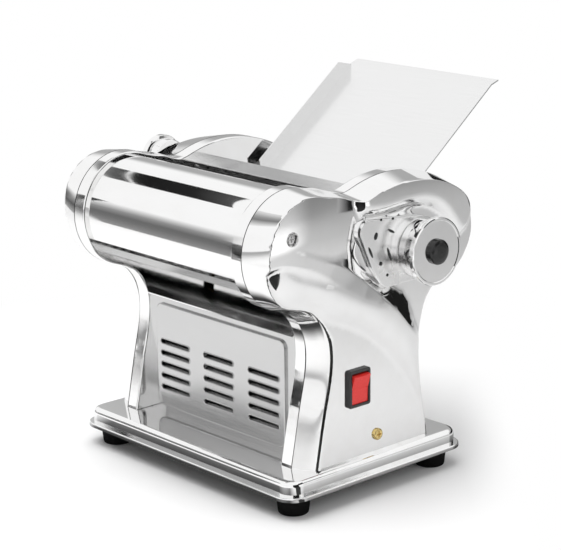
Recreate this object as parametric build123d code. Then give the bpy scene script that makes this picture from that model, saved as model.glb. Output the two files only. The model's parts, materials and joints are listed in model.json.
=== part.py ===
"""Electric pasta maker with polished side housings, dough rollers, cutter rollers and a gear motor.

X runs along the rollers to the right, -Y is the front where the noodles come out, +Z is up.
Side profiles are drawn as (y, z) pairs and run along X, with y measured from the middle of the base.
The floor is z = 0. On export the machine moves along Y so that its origin is the middle of its footprint.
"""

from build123d import *
import math
import os

# ---------- driving dimensions, millimetres ----------
SHEET = 1.2  # polished stainless sheet
BASE_HALF = (138.5, 102.5)  # base tray wall, half width and half depth
BASE_CORNER = 14.0
BASE_TOP = 34.0
BASE_RIM_Z = 19.8
BASE_RIM = 4.5  # how far the rim stands out
SHOULDER = 5.0
FOOT_AT = (120.0, 83.0)
FOOT_TOP_R, FOOT_BOTTOM_R, FOOT_HEIGHT = 15.0, 13.0, 18.3

INNER_FACE = 97.6  # half the clear width between the side assemblies
GAP_PLANE = 110.6  # where inner cover and outer housing meet
SHADOW_GAP = 0.9
PLATE_T = 6.0  # bearing plate
HOUSING_FACE = 131.0  # flat lower face of a housing
RELIEF = 7.5  # how far dome, ridge and crescent stand out of it
WALL = 2.0
RIM_ROUND = 4.0

FRONT_LOBE, FRONT_LOBE_R = (-78.0, 224.0), 51.5
REAR_LOBE, REAR_LOBE_R = (77.0, 214.0), 50.0

ROLLER_R, ROLLER_HALF = 21.0, 90.0
JOURNAL_R = 8.0
DRIVE_AXIS = (7.5, 208.0)
ADJUST_AXIS = (50.0, 208.0)
GAP_TRAVEL = 3.5  # from the thinnest to the thickest sheet
KNOB_SWEEP_DEG = 315.0  # eight settings, 45 degrees apart
RUN = 0.05  # radial running clearance

MODULE = 2.5
TEETH = {"drive": 17, "adjust": 17, "idler": 32, "output": 20, "transfer": 14, "cutter": 13}
GEAR_X = (-117.0, -107.0)
UPPER_CUTTER, LOWER_CUTTER = (-84.0, 220.5), (-61.0, 197.5)
CUT_DISCS, CUT_WIDTH, CUT_PITCH = 14, 6.2, 12.9
DISC_R, CORE_R = 17.2, 14.8
OUTPUT_AXIS = (0.0, 84.0)

PANEL_Y, REAR_PANEL_Y = -58.5, 58.0
GLAND = (-70.0, 52.0)  # cord inlet in the rear panel, x and z
CHUTE_FRONT, CHUTE_SLOPE_DEG = (-61.5, 143.0), 18.0
COVER_R = 48.0
PLATE_FOOT, PLATE_BEND, PLATE_TIP = (68.0, 230.3), (190.0, 326.0), (199.5, 329.3)
KNOB_FACE_X = 157.0
GUARD_KNOB = (3.5, 251.0)
SWITCH = (-18.5, 97.5)
DOME_SCREW, BASE_LINE_SCREW = (-99.0, 241.0), (5.0, 50.0)
TIE_RODS = [(-48, 130), (46, 132), (-50, 64), (50, 64), (-24, 226), (104, 200)]

CUTTER_SHAFT_R, OUTPUT_SHAFT_R, KNOB_SHAFT_R, GUARD_SHAFT_R = 6.0, 6.0, 6.0, 3.5
STUD_R = 5.0
BUSH_WALL = 3.0
BLOCK = (34.0, 26.0)  # adjuster block, along y and z
PLATE_X = (INNER_FACE + SHEET, INNER_FACE + SHEET + PLATE_T)
JOURNAL_END = 118.0
CAM_X = (106.5, 111.0)
CAM_START_R = 13.0  # distance of the follower from the knob axis at the thinnest setting
YOKE_X = (91.0, 97.3)  # inner and outer face of a yoke arm
FOLLOWER_R = 3.0
KNOB_BACK_X, SHAFT_END_X = 135.3, 150.0
FLAT_AT = 4.6  # distance of the shaft's flat from its axis

PRESSURE = math.radians(20)
BACKLASH = 0.25

PLATE_HALF = 90.0  # half the width of the feed plate
PIN_R = 3.0
LOWER_PIN_AT, UPPER_PIN_AT = 18.0, 38.0  # along the feed plate from its foot

ROCKER_PIVOT_X = 128.0
ROCKER_TILT = 9.0  # degrees, in the off position

TIE_ROD_R, TIE_SCREW_R = 5.0, 3.0
FLOOR_SCREW_R, FLOOR_SCREW_LENGTH = 2.5, 12.0
BRACKET_LEG, BRACKET_T, BRACKET_HALF = 20.0, 3.0, 17.0
BRACKET_AT = (116.0, (-34.0, 38.0))  # x of the bracket screws, and their two y places
POST_R = 5.5
DIAL_R, DIAL_T = 27.5, 4.0
SLOT_COLUMN, SLOT_ROW, SLOT_TOP = 59.5, 10.8, 101.7  # pitch across, pitch down, height of the top row
SLOT_SIZE = (40.0, 4.6)


# ---------- helpers ----------
STANDING = (Align.CENTER, Align.CENTER, Align.MIN)  # a solid's base on its own z = 0


def polar(centre, radius, degrees):
    """The point at an angle on a circle; angles run from +Y towards +Z, as a positive turn about X does."""
    a = math.radians(degrees)
    return (centre[0] + radius * math.cos(a), centre[1] + radius * math.sin(a))


def heading(degrees):
    """The direction of travel on a circle at that angle."""
    a = math.radians(degrees)
    return (-math.sin(a), math.cos(a))


def slab(profile, x0, x1):
    """A (y, z) profile carried along X from x0 to x1."""
    return extrude(Plane.YZ.offset(x0) * profile, amount=x1 - x0, dir=(1, 0, 0))


def rod(centre, radius, x0, x1):
    return slab(Pos(*centre) * Circle(radius), min(x0, x1), max(x0, x1))


def side_slab(profile, side, inner, outer):
    """A (y, z) profile between two distances from the middle, on the right (side 1) or left (side -1)."""
    return slab(profile, min(side * inner, side * outer), max(side * inner, side * outer))


def end_face(piece, side):
    """The face of a piece that looks to that side."""
    return piece.faces().sort_by(Axis.X)[-1 if side > 0 else 0]


def group(pieces):
    """Separate solids that share one name."""
    return Compound([solid for piece in pieces for solid in piece.solids()])


def screw(radius, head_radius, head_height, length):
    """A screw that points down -Z with its head's underside at z = 0, cross recess in the head."""
    head = Cylinder(head_radius, head_height, align=STANDING)
    head = fillet(head.edges().sort_by(Axis.Z)[-1], head_height * 0.6)
    body = head + Pos(0, 0, -length) * Cylinder(radius, length, align=STANDING)
    blade = Box(head_radius * 1.1, head_radius * 0.22, head_height, align=STANDING)
    return body - Pos(0, 0, head_height * 0.45) * (blade + Rot(0, 0, 90) * blade)


def lying(piece, centre, x, side=1):
    """Turns a piece from +Z to point along +X (side 1) or -X (side -1) and sets it at a (y, z) centre."""
    return Pos(x, *centre) * Rot(0, 90 * side, 0) * piece


def sheet_of(line, thickness, x0, x1):
    """A bent sheet: an open (y, z) line through the middle of its thickness, carried along X."""
    return slab(trace(line, thickness), x0, x1)


def inset(outline, distance):
    """The same outline drawn a distance further in, for walls, pockets and plates."""
    edges = outline.edges()

    def inward(edge, at):
        return Vector(-(edge % at).Y, (edge % at).X)

    def corner(before, after):
        n1, n2 = inward(before, 1), inward(after, 0)
        return after @ 0 + (n1 + n2) * (distance / (1 + n1.dot(n2)))

    drawn = []
    for i, edge in enumerate(edges):
        start, end = corner(edges[i - 1], edge), corner(edge, edges[(i + 1) % len(edges)])
        between = [edge @ (k / 9) + inward(edge, k / 9) * distance for k in range(1, 9)]
        if edge.geom_type == GeomType.LINE:
            drawn.append(Line(start, end))
        elif edge.geom_type == GeomType.CIRCLE:
            drawn.append(ThreePointArc(start, between[4], end))
        else:
            drawn.append(Spline(start, *between, end, tangents=(edge % 0, edge % 1)))
    return make_face([e for part in drawn for e in part.edges()])


# ---------- side outline ----------
def side_outline():
    """Two lobes on a flared leg: the shape that both side assemblies share."""
    rear_leg = Spline(
        (78, BASE_TOP), (66.8, 130), polar(REAR_LOBE, REAR_LOBE_R, -80), tangents=((-0.13, 1), heading(-80)),
    )
    rear_lobe = CenterArc(REAR_LOBE, REAR_LOBE_R, -80, 115)
    top = Spline(
        polar(REAR_LOBE, REAR_LOBE_R, 35), (88, 263.2), (40, 272.5), (-4, 265.3), (-19.5, 261.8), (-34, 266.2),
        polar(FRONT_LOBE, FRONT_LOBE_R, 72), tangents=(heading(35), heading(72)),
    )
    front_lobe = CenterArc(FRONT_LOBE, FRONT_LOBE_R, 72, 164)
    front_leg = Spline(
        polar(FRONT_LOBE, FRONT_LOBE_R, 236), (-76, 167.5), (-60.8, 142), (-66, 90), (-77, BASE_TOP),
        tangents=(heading(236), (-0.2, -1)),
    )
    foot = Line((-77, BASE_TOP), (78, BASE_TOP))
    parts = (foot, rear_leg, rear_lobe, top, front_lobe, front_leg)
    return make_face([edge for part in parts for edge in part.edges()])


def dome_and_ridge_outline():
    """The raised front dome and the ridge that sweeps from it down to a round end over the rear foot."""
    dome_r, tail, tail_r = 47.0, (58.3, 61.5), 6.2
    lower = Spline(
        polar(FRONT_LOBE, dome_r, 245), (-74, 171.5), (-31, 150.5), (16, 119.5), (42, 81),
        polar(tail, tail_r, 200), tangents=(heading(245), heading(200)),
    )
    upper = Spline(
        polar(tail, tail_r, 360), (64, 86), (51, 127), (22, 163.5), (-14, 196.5), (-33, 209), (-39, 224),
        (-35, 247), (-40.5, 260), (-56, 268), polar(FRONT_LOBE, dome_r, 95),
        tangents=(heading(360), heading(95)),
    )
    parts = (CenterArc(FRONT_LOBE, dome_r, 95, 150), lower, CenterArc(tail, tail_r, 200, 160), upper)
    return make_face([edge for part in parts for edge in part.edges()])


def crescent_outline():
    """The raised band that wraps over the knob and ends behind it."""
    front, front_r, rear, rear_r = (-8.5, 251.0), 7.0, (103.0, 213.0), 8.5
    over = Spline(
        polar(rear, rear_r, 10), (100, 247), (66, 264.3), (40, 267.5), (14, 264.8), polar(front, front_r, 108),
        tangents=(heading(10), heading(108)),
    )
    under = Spline(
        polar(front, front_r, 268), (20, 241.8), (50, 243), (71, 236.5), (86, 220), polar(rear, rear_r, 215),
        tangents=(heading(268), heading(215)),
    )
    parts = (over, CenterArc(front, front_r, 108, 160), under, CenterArc(rear, rear_r, 215, 155))
    return make_face([edge for part in parts for edge in part.edges()])


# ---------- base ----------
def rounded(half_x, half_y, radius):
    return RectangleRounded(2 * half_x, 2 * half_y, radius)


def base_tray():
    """An inverted pan: flat top, rounded shoulder, straight wall and a turned-down outer rim."""
    half_x, half_y = BASE_HALF
    pan = Pos(0, 0, BASE_RIM_Z) * extrude(rounded(half_x, half_y, BASE_CORNER), amount=BASE_TOP - BASE_RIM_Z)
    pan = fillet(pan.faces().sort_by(Axis.Z)[-1].edges(), SHOULDER)
    core = extrude(rounded(half_x - SHEET, half_y - SHEET, BASE_CORNER - SHEET), amount=BASE_TOP - SHEET)
    core = fillet(core.faces().sort_by(Axis.Z)[-1].edges(), SHOULDER - SHEET)
    rim_shape = rounded(half_x + BASE_RIM, half_y + BASE_RIM, BASE_CORNER + BASE_RIM)
    rim = extrude(rim_shape, amount=BASE_RIM_Z + SHEET)
    rim = fillet(rim.faces().sort_by(Axis.Z)[-1].edges(), 1.0)
    under_rim = extrude(
        rounded(half_x + BASE_RIM - SHEET, half_y + BASE_RIM - SHEET, BASE_CORNER + BASE_RIM - SHEET),
        amount=BASE_RIM_Z,
    )
    floor_cut = Box(400, 400, 2 * (FOOT_HEIGHT - 0.8))
    pan = pan + rim - under_rim - core - floor_cut
    for x, y in bracket_screw_places():
        pan -= Pos(x, y, BASE_TOP) * Cylinder(FLOOR_SCREW_R, 10)
    return pan


def bottom_plate():
    half_x, half_y = BASE_HALF
    grow = BASE_RIM - SHEET
    outline = rounded(half_x + grow, half_y + grow, BASE_CORNER + grow)
    plate = extrude(outline, amount=BASE_RIM_Z - FOOT_HEIGHT)
    plate = Pos(0, 0, FOOT_HEIGHT) * plate
    for x, y in foot_places():
        plate -= Pos(x, y, FOOT_HEIGHT) * Cylinder(2.5, 10)
    return plate


def foot_places():
    return [(sx * FOOT_AT[0], sy * FOOT_AT[1]) for sx in (-1, 1) for sy in (-1, 1)]


def rubber_foot():
    foot = Cone(FOOT_BOTTOM_R, FOOT_TOP_R, FOOT_HEIGHT, align=STANDING)
    foot = fillet(foot.edges().sort_by(Axis.Z)[0], 2.0)
    foot -= Cylinder(5.5, 12, align=STANDING)
    return foot - Cylinder(2.5, 50)


def feet_pieces():
    """Feet, with the screw of each pushed up its bore and a nut on the bottom plate."""
    head_at = 12.0
    bolt = Pos(0, 0, head_at) * Rot(180, 0, 0) * screw(2.5, 4.75, 3.0, 14.0)
    nut_z = BASE_RIM_Z
    nut = Pos(0, 0, nut_z) * extrude(RegularPolygon(4.6, 6), amount=4.0)
    nut -= Cylinder(2.5, 100)
    places = foot_places()
    feet = group(Pos(x, y, 0) * rubber_foot() for x, y in places)
    return feet, group(Pos(x, y, 0) * piece for x, y in places for piece in (bolt, nut))


# ---------- side assemblies ----------
def journal_openings(clearance):
    """Openings that a side sheet needs for the shafts, as a (y, z) profile."""
    slot = Pos(ADJUST_AXIS[0] + GAP_TRAVEL / 2, ADJUST_AXIS[1]) * SlotCenterToCenter(
        GAP_TRAVEL + 0.01, 2 * (JOURNAL_R + clearance)
    )
    holes = slot + Pos(*DRIVE_AXIS) * Circle(JOURNAL_R + clearance)
    for axis in (UPPER_CUTTER, LOWER_CUTTER):
        holes += Pos(*axis) * Circle(CUTTER_SHAFT_R + clearance)
    return holes


def open_bottom():
    """Both shells stay open between their legs, where the brackets stand on the tray."""
    return Pos(1, BASE_TOP) * Rectangle(138, 8)


def inner_cover(side):
    """A polished pan: face towards the rollers and a deep rim that meets the housing."""
    outline = side_outline()
    pan = side_slab(outline, side, INNER_FACE, GAP_PLANE)
    pan = fillet(end_face(pan, -side).edges(), 1.5)
    pan -= side_slab(inset(outline, SHEET), side, INNER_FACE + SHEET, GAP_PLANE + 1)
    pan -= side_slab(open_bottom(), side, INNER_FACE + SHEET, GAP_PLANE + 1)
    pan -= side_slab(journal_openings(2.0), side, INNER_FACE - 1, INNER_FACE + 3)
    for axis in TIE_RODS:
        pan -= rod(axis, TIE_SCREW_R, side * (INNER_FACE - 1), side * (INNER_FACE + 3))
    if side < 0:
        pan -= rod(OUTPUT_AXIS, OUTPUT_SHAFT_R + 2, -INNER_FACE - 3, -INNER_FACE + 1)
        pan -= rod(GUARD_KNOB, GUARD_SHAFT_R + 0.5, -INNER_FACE - 3, -INNER_FACE + 1)
    return pan


def countersink(axis, side):
    """Head of a flush screw in the outer face of a bearing plate."""
    head = Cone(TIE_SCREW_R, 5.6, 2.6, align=(Align.CENTER, Align.CENTER, Align.MAX))
    return Pos(side * PLATE_X[1], *axis) * Rot(0, 90 * side, 0) * head


def bearing_plate(side):
    """6 mm steel plate with seats for the bushes, a window for the sliding block and flush screw holes."""
    plate = side_slab(inset(side_outline(), SHEET + 1.5), side, *PLATE_X)
    window = Rectangle(BLOCK[0] + GAP_TRAVEL + 0.6, BLOCK[1] + 0.3)
    cuts = Pos(ADJUST_AXIS[0] + GAP_TRAVEL / 2, ADJUST_AXIS[1]) * window
    cuts += Pos(*DRIVE_AXIS) * Circle(JOURNAL_R + BUSH_WALL)
    for axis in (UPPER_CUTTER, LOWER_CUTTER):
        cuts += Pos(*axis) * Circle(CUTTER_SHAFT_R + BUSH_WALL)
    for axis in TIE_RODS:
        cuts += Pos(*axis) * Circle(TIE_SCREW_R)
    plate -= side_slab(cuts, side, PLATE_X[0] - 1, PLATE_X[1] + 1)
    for axis in TIE_RODS:
        plate -= countersink(axis, side)
    if side < 0:
        plate -= rod(OUTPUT_AXIS, OUTPUT_SHAFT_R + 1, -PLATE_X[1], -PLATE_X[0])
        plate -= rod(GUARD_KNOB, GUARD_SHAFT_R + RUN, -PLATE_X[1], -PLATE_X[0])
        for axis in idler_axes():
            plate -= rod(axis, STUD_R, -PLATE_X[1], -PLATE_X[0])
    return plate


def bracket_screw_places():
    """Screws that hold the angle brackets to the tray, as (x, y)."""
    across, along = BRACKET_AT
    return [(side * across, y) for side in (-1, 1) for y in along]


def frame_brackets():
    """Steel angles in the corners between bearing plates and tray."""
    brackets, floor_screws = [], []
    for x, y in bracket_screw_places():
        leg, t = BRACKET_LEG, BRACKET_T
        corner = Polyline((0, 0), (leg, 0), (leg, t), (t, t), (t, leg), (0, leg), close=True)
        angle = extrude(Plane.XZ * make_face(corner), amount=BRACKET_HALF, both=True)
        angle = Pos(PLATE_X[1], 0, BASE_TOP) * angle
        if x < 0:
            angle = mirror(angle, about=Plane.YZ)
        brackets.append(Pos(0, y, 0) * angle - Pos(x, y, BASE_TOP) * Cylinder(FLOOR_SCREW_R, 30))
        floor_screws.append(Pos(x, y, BASE_TOP + t) * screw(FLOOR_SCREW_R, 4.5, 2.8, FLOOR_SCREW_LENGTH))
    return group(brackets), floor_screws


def tie_rods():
    rods, screws = [], []
    for axis in TIE_RODS:
        bar = rod(axis, TIE_ROD_R, -INNER_FACE, INNER_FACE)
        for side in (-1, 1):
            bar -= rod(axis, TIE_SCREW_R, side * (INNER_FACE - 18), side * (INNER_FACE + 1))
            shank = rod(axis, TIE_SCREW_R, side * (INNER_FACE - 16), side * (PLATE_X[1] - 1))
            screws.append(shank + countersink(axis, side))
        rods.append(bar)
    return group(rods), screws


def housing_shape(side):
    """A housing before its holes: rimmed body, dome with ridge, and crescent, hollow inside."""
    outline = side_outline()
    body = side_slab(outline, side, GAP_PLANE + SHADOW_GAP, HOUSING_FACE)
    rim = [e for e in end_face(body, side).edges() if e.center().Z > BASE_TOP + 1]
    body = fillet(rim, RIM_ROUND)
    top = HOUSING_FACE + RELIEF
    for relief, rounding in ((dome_and_ridge_outline(), 4.5), (crescent_outline(), 4.5)):
        raised = side_slab(relief, side, HOUSING_FACE - 8, top)
        body += fillet(end_face(raised, side).edges(), rounding)
    cavity = side_slab(inset(outline, WALL), side, GAP_PLANE, HOUSING_FACE - WALL)
    pocket = side_slab(inset(dome_and_ridge_outline(), 5.5), side, HOUSING_FACE - WALL - 1, top - WALL)
    boss = rod(DOME_SCREW, 9.0, side * (HOUSING_FACE - WALL), side * top)
    cavity += side_slab(open_bottom(), side, GAP_PLANE, HOUSING_FACE - WALL)
    return body - cavity - (pocket - boss)


def housing(side):
    shell = housing_shape(side)
    inside, outside = side * (HOUSING_FACE - 10), side * (HOUSING_FACE + 20)
    shell -= rod(DOME_SCREW, 6.0, side * (HOUSING_FACE + RELIEF - 4), outside)
    shell -= rod(DOME_SCREW, 2.75, inside, outside)
    shell -= rod(BASE_LINE_SCREW, 2.75, inside, outside)
    if side < 0:
        return shell - rod(GUARD_KNOB, GUARD_SHAFT_R + 0.5, inside, outside)
    shell -= rod(ADJUST_AXIS, 9.0, inside, outside)
    return shell - slab(Pos(*SWITCH) * Rectangle(21.8, 29.8), inside, outside)


def housing_fixings():
    """Posts between bearing plates and housings, with the chrome and brass screws that hold the housings."""
    posts, chrome, brass = [], [], []
    inside = HOUSING_FACE - WALL
    for side in (-1, 1):
        for axis, seat, head, target in (
            (DOME_SCREW, HOUSING_FACE + RELIEF - 4, screw(2.5, 4.5, 3.0, 22.0), chrome),
            (BASE_LINE_SCREW, HOUSING_FACE, screw(2.5, 5.2, 2.4, 19.0), brass),
        ):
            post = rod(axis, POST_R, side * PLATE_X[1], side * inside)
            posts.append(post - rod(axis, 2.5, side * 110, side * 130))
            target.append(lying(head, axis, side * seat, side))
    return group(posts), group(chrome), group(brass)


# ---------- sheet covers between the sides ----------
def front_cover():
    """Round cover over the cutter rollers, running out flat to the dough slot."""
    start, end = 205.0, 73.0
    arc = CenterArc(FRONT_LOBE, COVER_R - SHEET / 2, start, end - start)
    leave = polar(FRONT_LOBE, COVER_R - SHEET / 2, end)
    back_y = -12.0
    drop = (back_y - leave[0]) * math.tan(math.radians(90 - end))
    return sheet_of(arc + Line(leave, (back_y, leave[1] - drop)), SHEET, -INNER_FACE, INNER_FACE)


def top_guard():
    """Flat plate between the cutter slot and the dough mouth; its left flange hooks over the guard shaft."""
    top = 257.0
    mid = top - SHEET / 2
    bend = FilletPolyline((-5, mid), (27.4, mid), (27.4, mid - 20), radius=2.5)
    plate = sheet_of(bend, SHEET, -INNER_FACE, INNER_FACE)
    flange = Pos(4, 248) * Rectangle(15, 15.6) - Pos(*GUARD_KNOB) * Circle(GUARD_SHAFT_R + 0.3)
    flange -= Pos(GUARD_KNOB[0], GUARD_KNOB[1] - 10) * Rectangle(3.5, 20)
    return plate + slab(flange, -INNER_FACE, -INNER_FACE + SHEET)


def rear_panel():
    """Rear sheet in one bend: motor panel, waist and the round back over the adjustable roller."""
    panel_y, waist_z, lobe_r = REAR_PANEL_Y, 140.0, REAR_LOBE_R - 2.5
    rise, run = REAR_LOBE[1] - waist_z, REAR_LOBE[0] - panel_y
    waist_r = (run**2 + rise**2 - lobe_r**2) / (2 * (lobe_r + run))
    waist = (panel_y + waist_r, waist_z)
    join = math.degrees(math.atan2(rise, REAR_LOBE[0] - waist[0]))
    line = Line((panel_y, BASE_TOP), (panel_y, waist_z))
    line += CenterArc(waist, waist_r, 180, join - 180)
    line += CenterArc(REAR_LOBE, lobe_r, join - 180, 180 - join + 50)
    panel = sheet_of(line, SHEET, -INNER_FACE, INNER_FACE)
    return panel - Pos(GLAND[0], panel_y, GLAND[1]) * Rot(90, 0, 0) * Cylinder(7.0, 10)


def cord_gland():
    """Bush that lines the cord hole, with a flange outside and a nut inside."""
    flange = Cylinder(9.5, 2.8, align=STANDING)
    gland = Cylinder(7.0, 17.0) + Pos(0, 0, SHEET / 2) * flange + Pos(0, 0, -SHEET / 2 - 2.8) * flange
    return Pos(GLAND[0], REAR_PANEL_Y, GLAND[1]) * Rot(-90, 0, 0) * (gland - Cylinder(3.5, 30))


def vent_panel():
    """Front motor panel: a raised field with three columns of five louvres pressed inwards."""
    field_x, field_z, field_y = (-86.0, 86.0), (40.0, 137.0), -61.0
    flat = Box(2 * INNER_FACE, SHEET, 142.6 - BASE_TOP, align=(Align.CENTER, Align.MIN, Align.MIN))
    panel = Pos(0, PANEL_Y, BASE_TOP) * flat
    centre = ((field_x[0] + field_x[1]) / 2, (field_z[0] + field_z[1]) / 2)
    size = (field_x[1] - field_x[0], field_z[1] - field_z[0])

    def block(shrink, front, back):
        shape = Pos(*centre) * RectangleRounded(size[0] - 2 * shrink, size[1] - 2 * shrink, 8 - shrink)
        return extrude(Plane.XZ.offset(-back) * shape, amount=back - front)

    field = block(0, field_y, PANEL_Y + SHEET)
    field = fillet(field.faces().sort_by(Axis.Y)[0].edges(), 1.2)
    panel = panel + field - block(SHEET, field_y + SHEET, PANEL_Y + SHEET + 1)
    for column in (-1, 0, 1):
        for row in range(5):
            x, z = SLOT_COLUMN * column, SLOT_TOP - SLOT_ROW * row
            slot = Plane.XZ.offset(-field_y) * Pos(x, z) * SlotOverall(*SLOT_SIZE)
            vane = Box(SLOT_SIZE[0] - 2, 1.0, 6.5, align=(Align.CENTER, Align.MIN, Align.MIN))
            panel -= extrude(slot, amount=5, both=True)
            panel += Pos(x, field_y + 0.6, z - 2.6) * Rot(-52, 0, 0) * vane
    return panel


def chute():
    """Polished slide under the rollers: steep at the front, flatter at the rear, with an upturned end."""
    slope = math.tan(math.radians(CHUTE_SLOPE_DEG))
    y0, z0 = CHUTE_FRONT
    knee_y = 12.0
    knee = (knee_y, z0 + (knee_y - y0) * slope)
    line = Polyline((y0, z0 + 0.6), (knee[0], knee[1] + 0.6), (65, knee[1] + 5), (67, knee[1] + 8))
    return sheet_of(line, SHEET, -INNER_FACE, INNER_FACE)


def cutter_guide():
    return sheet_of(Line((-10, 247), (-52, 219.5)), 1.0, -INNER_FACE, INNER_FACE)


# ---------- feed plate ----------
def plate_frame(along, above):
    """A point on the feed plate: distance along its slope from the foot, and height over its top face."""
    rise, run = PLATE_BEND[1] - PLATE_FOOT[1], PLATE_BEND[0] - PLATE_FOOT[0]
    length = math.hypot(rise, run)
    c, s = run / length, rise / length
    return (PLATE_FOOT[0] + along * c - above * s, PLATE_FOOT[1] + along * s + above * c)


def plate_pins():
    """Pins in the inner covers that carry the feed plate; the upper pair is shorter."""
    pins = []
    for along, reach in ((LOWER_PIN_AT, 86.0), (UPPER_PIN_AT, 88.7)):
        centre = plate_frame(along, -SHEET - PIN_R)
        pins += [rod(centre, PIN_R, side * reach, side * INNER_FACE) for side in (-1, 1)]
    return group(pins)


def feed_plate():
    """Leaning plate with a side flange, a bent top hem and two hooks that catch the lower pins."""
    length = math.hypot(PLATE_BEND[0] - PLATE_FOOT[0], PLATE_BEND[1] - PLATE_FOOT[1])
    tip = (PLATE_TIP[0] + 0.2, PLATE_TIP[1] - 0.6)
    line = Polyline(plate_frame(0, -SHEET / 2), plate_frame(length, -SHEET / 2), tip)
    plate = sheet_of(line, SHEET, -PLATE_HALF, PLATE_HALF)
    flange = make_face(Polyline(
        plate_frame(4, -0.1), plate_frame(12, 13), plate_frame(length - 12, 13), plate_frame(length - 1, -0.1),
        close=True,
    ))
    plate += slab(flange, -PLATE_HALF, -PLATE_HALF + SHEET)
    hook_at = LOWER_PIN_AT + PIN_R + 0.02
    hook = make_face(Polyline(
        plate_frame(hook_at, -0.5), plate_frame(hook_at + 2, -0.5), plate_frame(hook_at + 2, -6),
        plate_frame(hook_at, -6), close=True,
    ))
    for x0, x1 in ((-88.4, -85.0), (85.0, 88.4)):
        plate += slab(hook, x0, x1)
    return plate


# ---------- gear train ----------
def involute(angle):
    return math.tan(angle) - angle


def gear(teeth, centre, phase, bore):
    """Spur gear with involute flanks; a tooth is centred at the phase angle (radians)."""
    pitch_r = MODULE * teeth / 2
    base_r, tip_r, root_r = pitch_r * math.cos(PRESSURE), pitch_r + 0.9 * MODULE, pitch_r - 1.25 * MODULE
    half_pitch_tooth = math.pi / (2 * teeth) - BACKLASH / (2 * pitch_r)

    def half_angle(radius):
        at = math.acos(min(1.0, base_r / radius))
        return half_pitch_tooth + involute(PRESSURE) - involute(at)

    start_r = max(base_r, root_r)
    flank = [start_r, (start_r + tip_r) / 2, tip_r]
    if root_r < base_r:
        flank.insert(0, root_r)
    points = []
    for tooth in range(teeth):
        middle = phase + 2 * math.pi * tooth / teeth
        rising = [(r, middle - half_angle(r)) for r in flank]
        falling = [(r, middle + half_angle(r)) for r in reversed(flank)]
        points += [polar(centre, r, math.degrees(a)) for r, a in rising + falling]
    blank = make_face(Polyline(*points, close=True))
    return slab(blank, *GEAR_X) - rod(centre, bore, GEAR_X[0] - 1, GEAR_X[1] + 1)


def meeting(c1, r1, c2, r2, turn):
    """Where two circles cross; turn 1 or -1 picks the crossing left or right of the line c1 to c2."""
    dy, dz = c2[0] - c1[0], c2[1] - c1[1]
    d = math.hypot(dy, dz)
    along = (r1**2 - r2**2 + d**2) / (2 * d)
    off = turn * math.sqrt(max(0.0, r1**2 - along**2))
    return (c1[0] + (along * dy - off * dz) / d, c1[1] + (along * dz + off * dy) / d)


def centre_distance(a, b):
    return MODULE * (TEETH[a] + TEETH[b]) / 2


def idler_axes():
    motor_idler = meeting(
        OUTPUT_AXIS, centre_distance("output", "idler"), DRIVE_AXIS, centre_distance("idler", "drive"), -1
    )
    reach = centre_distance("idler", "transfer")
    cutter_idler = meeting(motor_idler, reach, LOWER_CUTTER, centre_distance("transfer", "cutter"), -1)
    return motor_idler, cutter_idler


def meshed_phase(centre_a, teeth_a, phase_a, centre_b, teeth_b):
    """Phase of gear b so that its gap meets the tooth of gear a on their centre line."""
    line = math.atan2(centre_b[1] - centre_a[1], centre_b[0] - centre_a[0])
    share = ((line - phase_a) * teeth_a / (2 * math.pi)) % 1
    return line + math.pi - (2 * math.pi / teeth_b) * (0.5 - share)


def gear_train():
    """Every gear by name, each meshed with the one that drives it."""
    motor_idler, cutter_idler = idler_axes()
    places = {
        "drive": (DRIVE_AXIS, TEETH["drive"], JOURNAL_R, None),
        "adjust": (ADJUST_AXIS, TEETH["adjust"], JOURNAL_R, "drive"),
        "motor_idler": (motor_idler, TEETH["idler"], STUD_R + RUN, "drive"),
        "output": (OUTPUT_AXIS, TEETH["output"], OUTPUT_SHAFT_R, "motor_idler"),
        "cutter_idler": (cutter_idler, TEETH["transfer"], STUD_R + RUN, "motor_idler"),
        "lower_cutter": (LOWER_CUTTER, TEETH["cutter"], CUTTER_SHAFT_R, "cutter_idler"),
        "upper_cutter": (UPPER_CUTTER, TEETH["cutter"], CUTTER_SHAFT_R, "lower_cutter"),
    }
    phases, gears = {}, {}
    for name, (centre, teeth, bore, driver) in places.items():
        if driver is None:
            phases[name] = 0.0
        else:
            driver_centre, driver_teeth = places[driver][:2]
            phases[name] = meshed_phase(driver_centre, driver_teeth, phases[driver], centre, teeth)
        gears[name] = gear(teeth, centre, phases[name], bore)
    return gears


def idler_studs():
    """Studs pressed into the left plate, with a collar behind each idler and a washer in front."""
    studs = []
    for axis in idler_axes():
        stud = rod(axis, STUD_R, -PLATE_X[0], GEAR_X[0] - 3)
        collar = rod(axis, 8.0, -PLATE_X[1], GEAR_X[1] + 0.1)
        washer = rod(axis, 8.0, GEAR_X[0] - 0.1, GEAR_X[0] - 1.6)
        studs.append(stud + collar + washer)
    return group(studs)


# ---------- rollers and their carriage ----------
def smooth_roller(centre, right_end):
    roller = rod(centre, ROLLER_R, -ROLLER_HALF, ROLLER_HALF)
    roller = chamfer(roller.edges().filter_by(GeomType.CIRCLE), 0.8)
    left_journal = rod(centre, JOURNAL_R, -JOURNAL_END, -ROLLER_HALF)
    return roller + left_journal + rod(centre, JOURNAL_R, ROLLER_HALF, right_end)


def flanged_bush(centre, shaft_r, side):
    outer = shaft_r + BUSH_WALL
    bush = rod(centre, outer, side * PLATE_X[0], side * PLATE_X[1])
    bush += rod(centre, outer + 2.5, side * PLATE_X[1], side * (PLATE_X[1] + 1.6))
    return bush - rod(centre, shaft_r + RUN, side * (PLATE_X[0] - 1), side * (PLATE_X[1] + 3))


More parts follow.
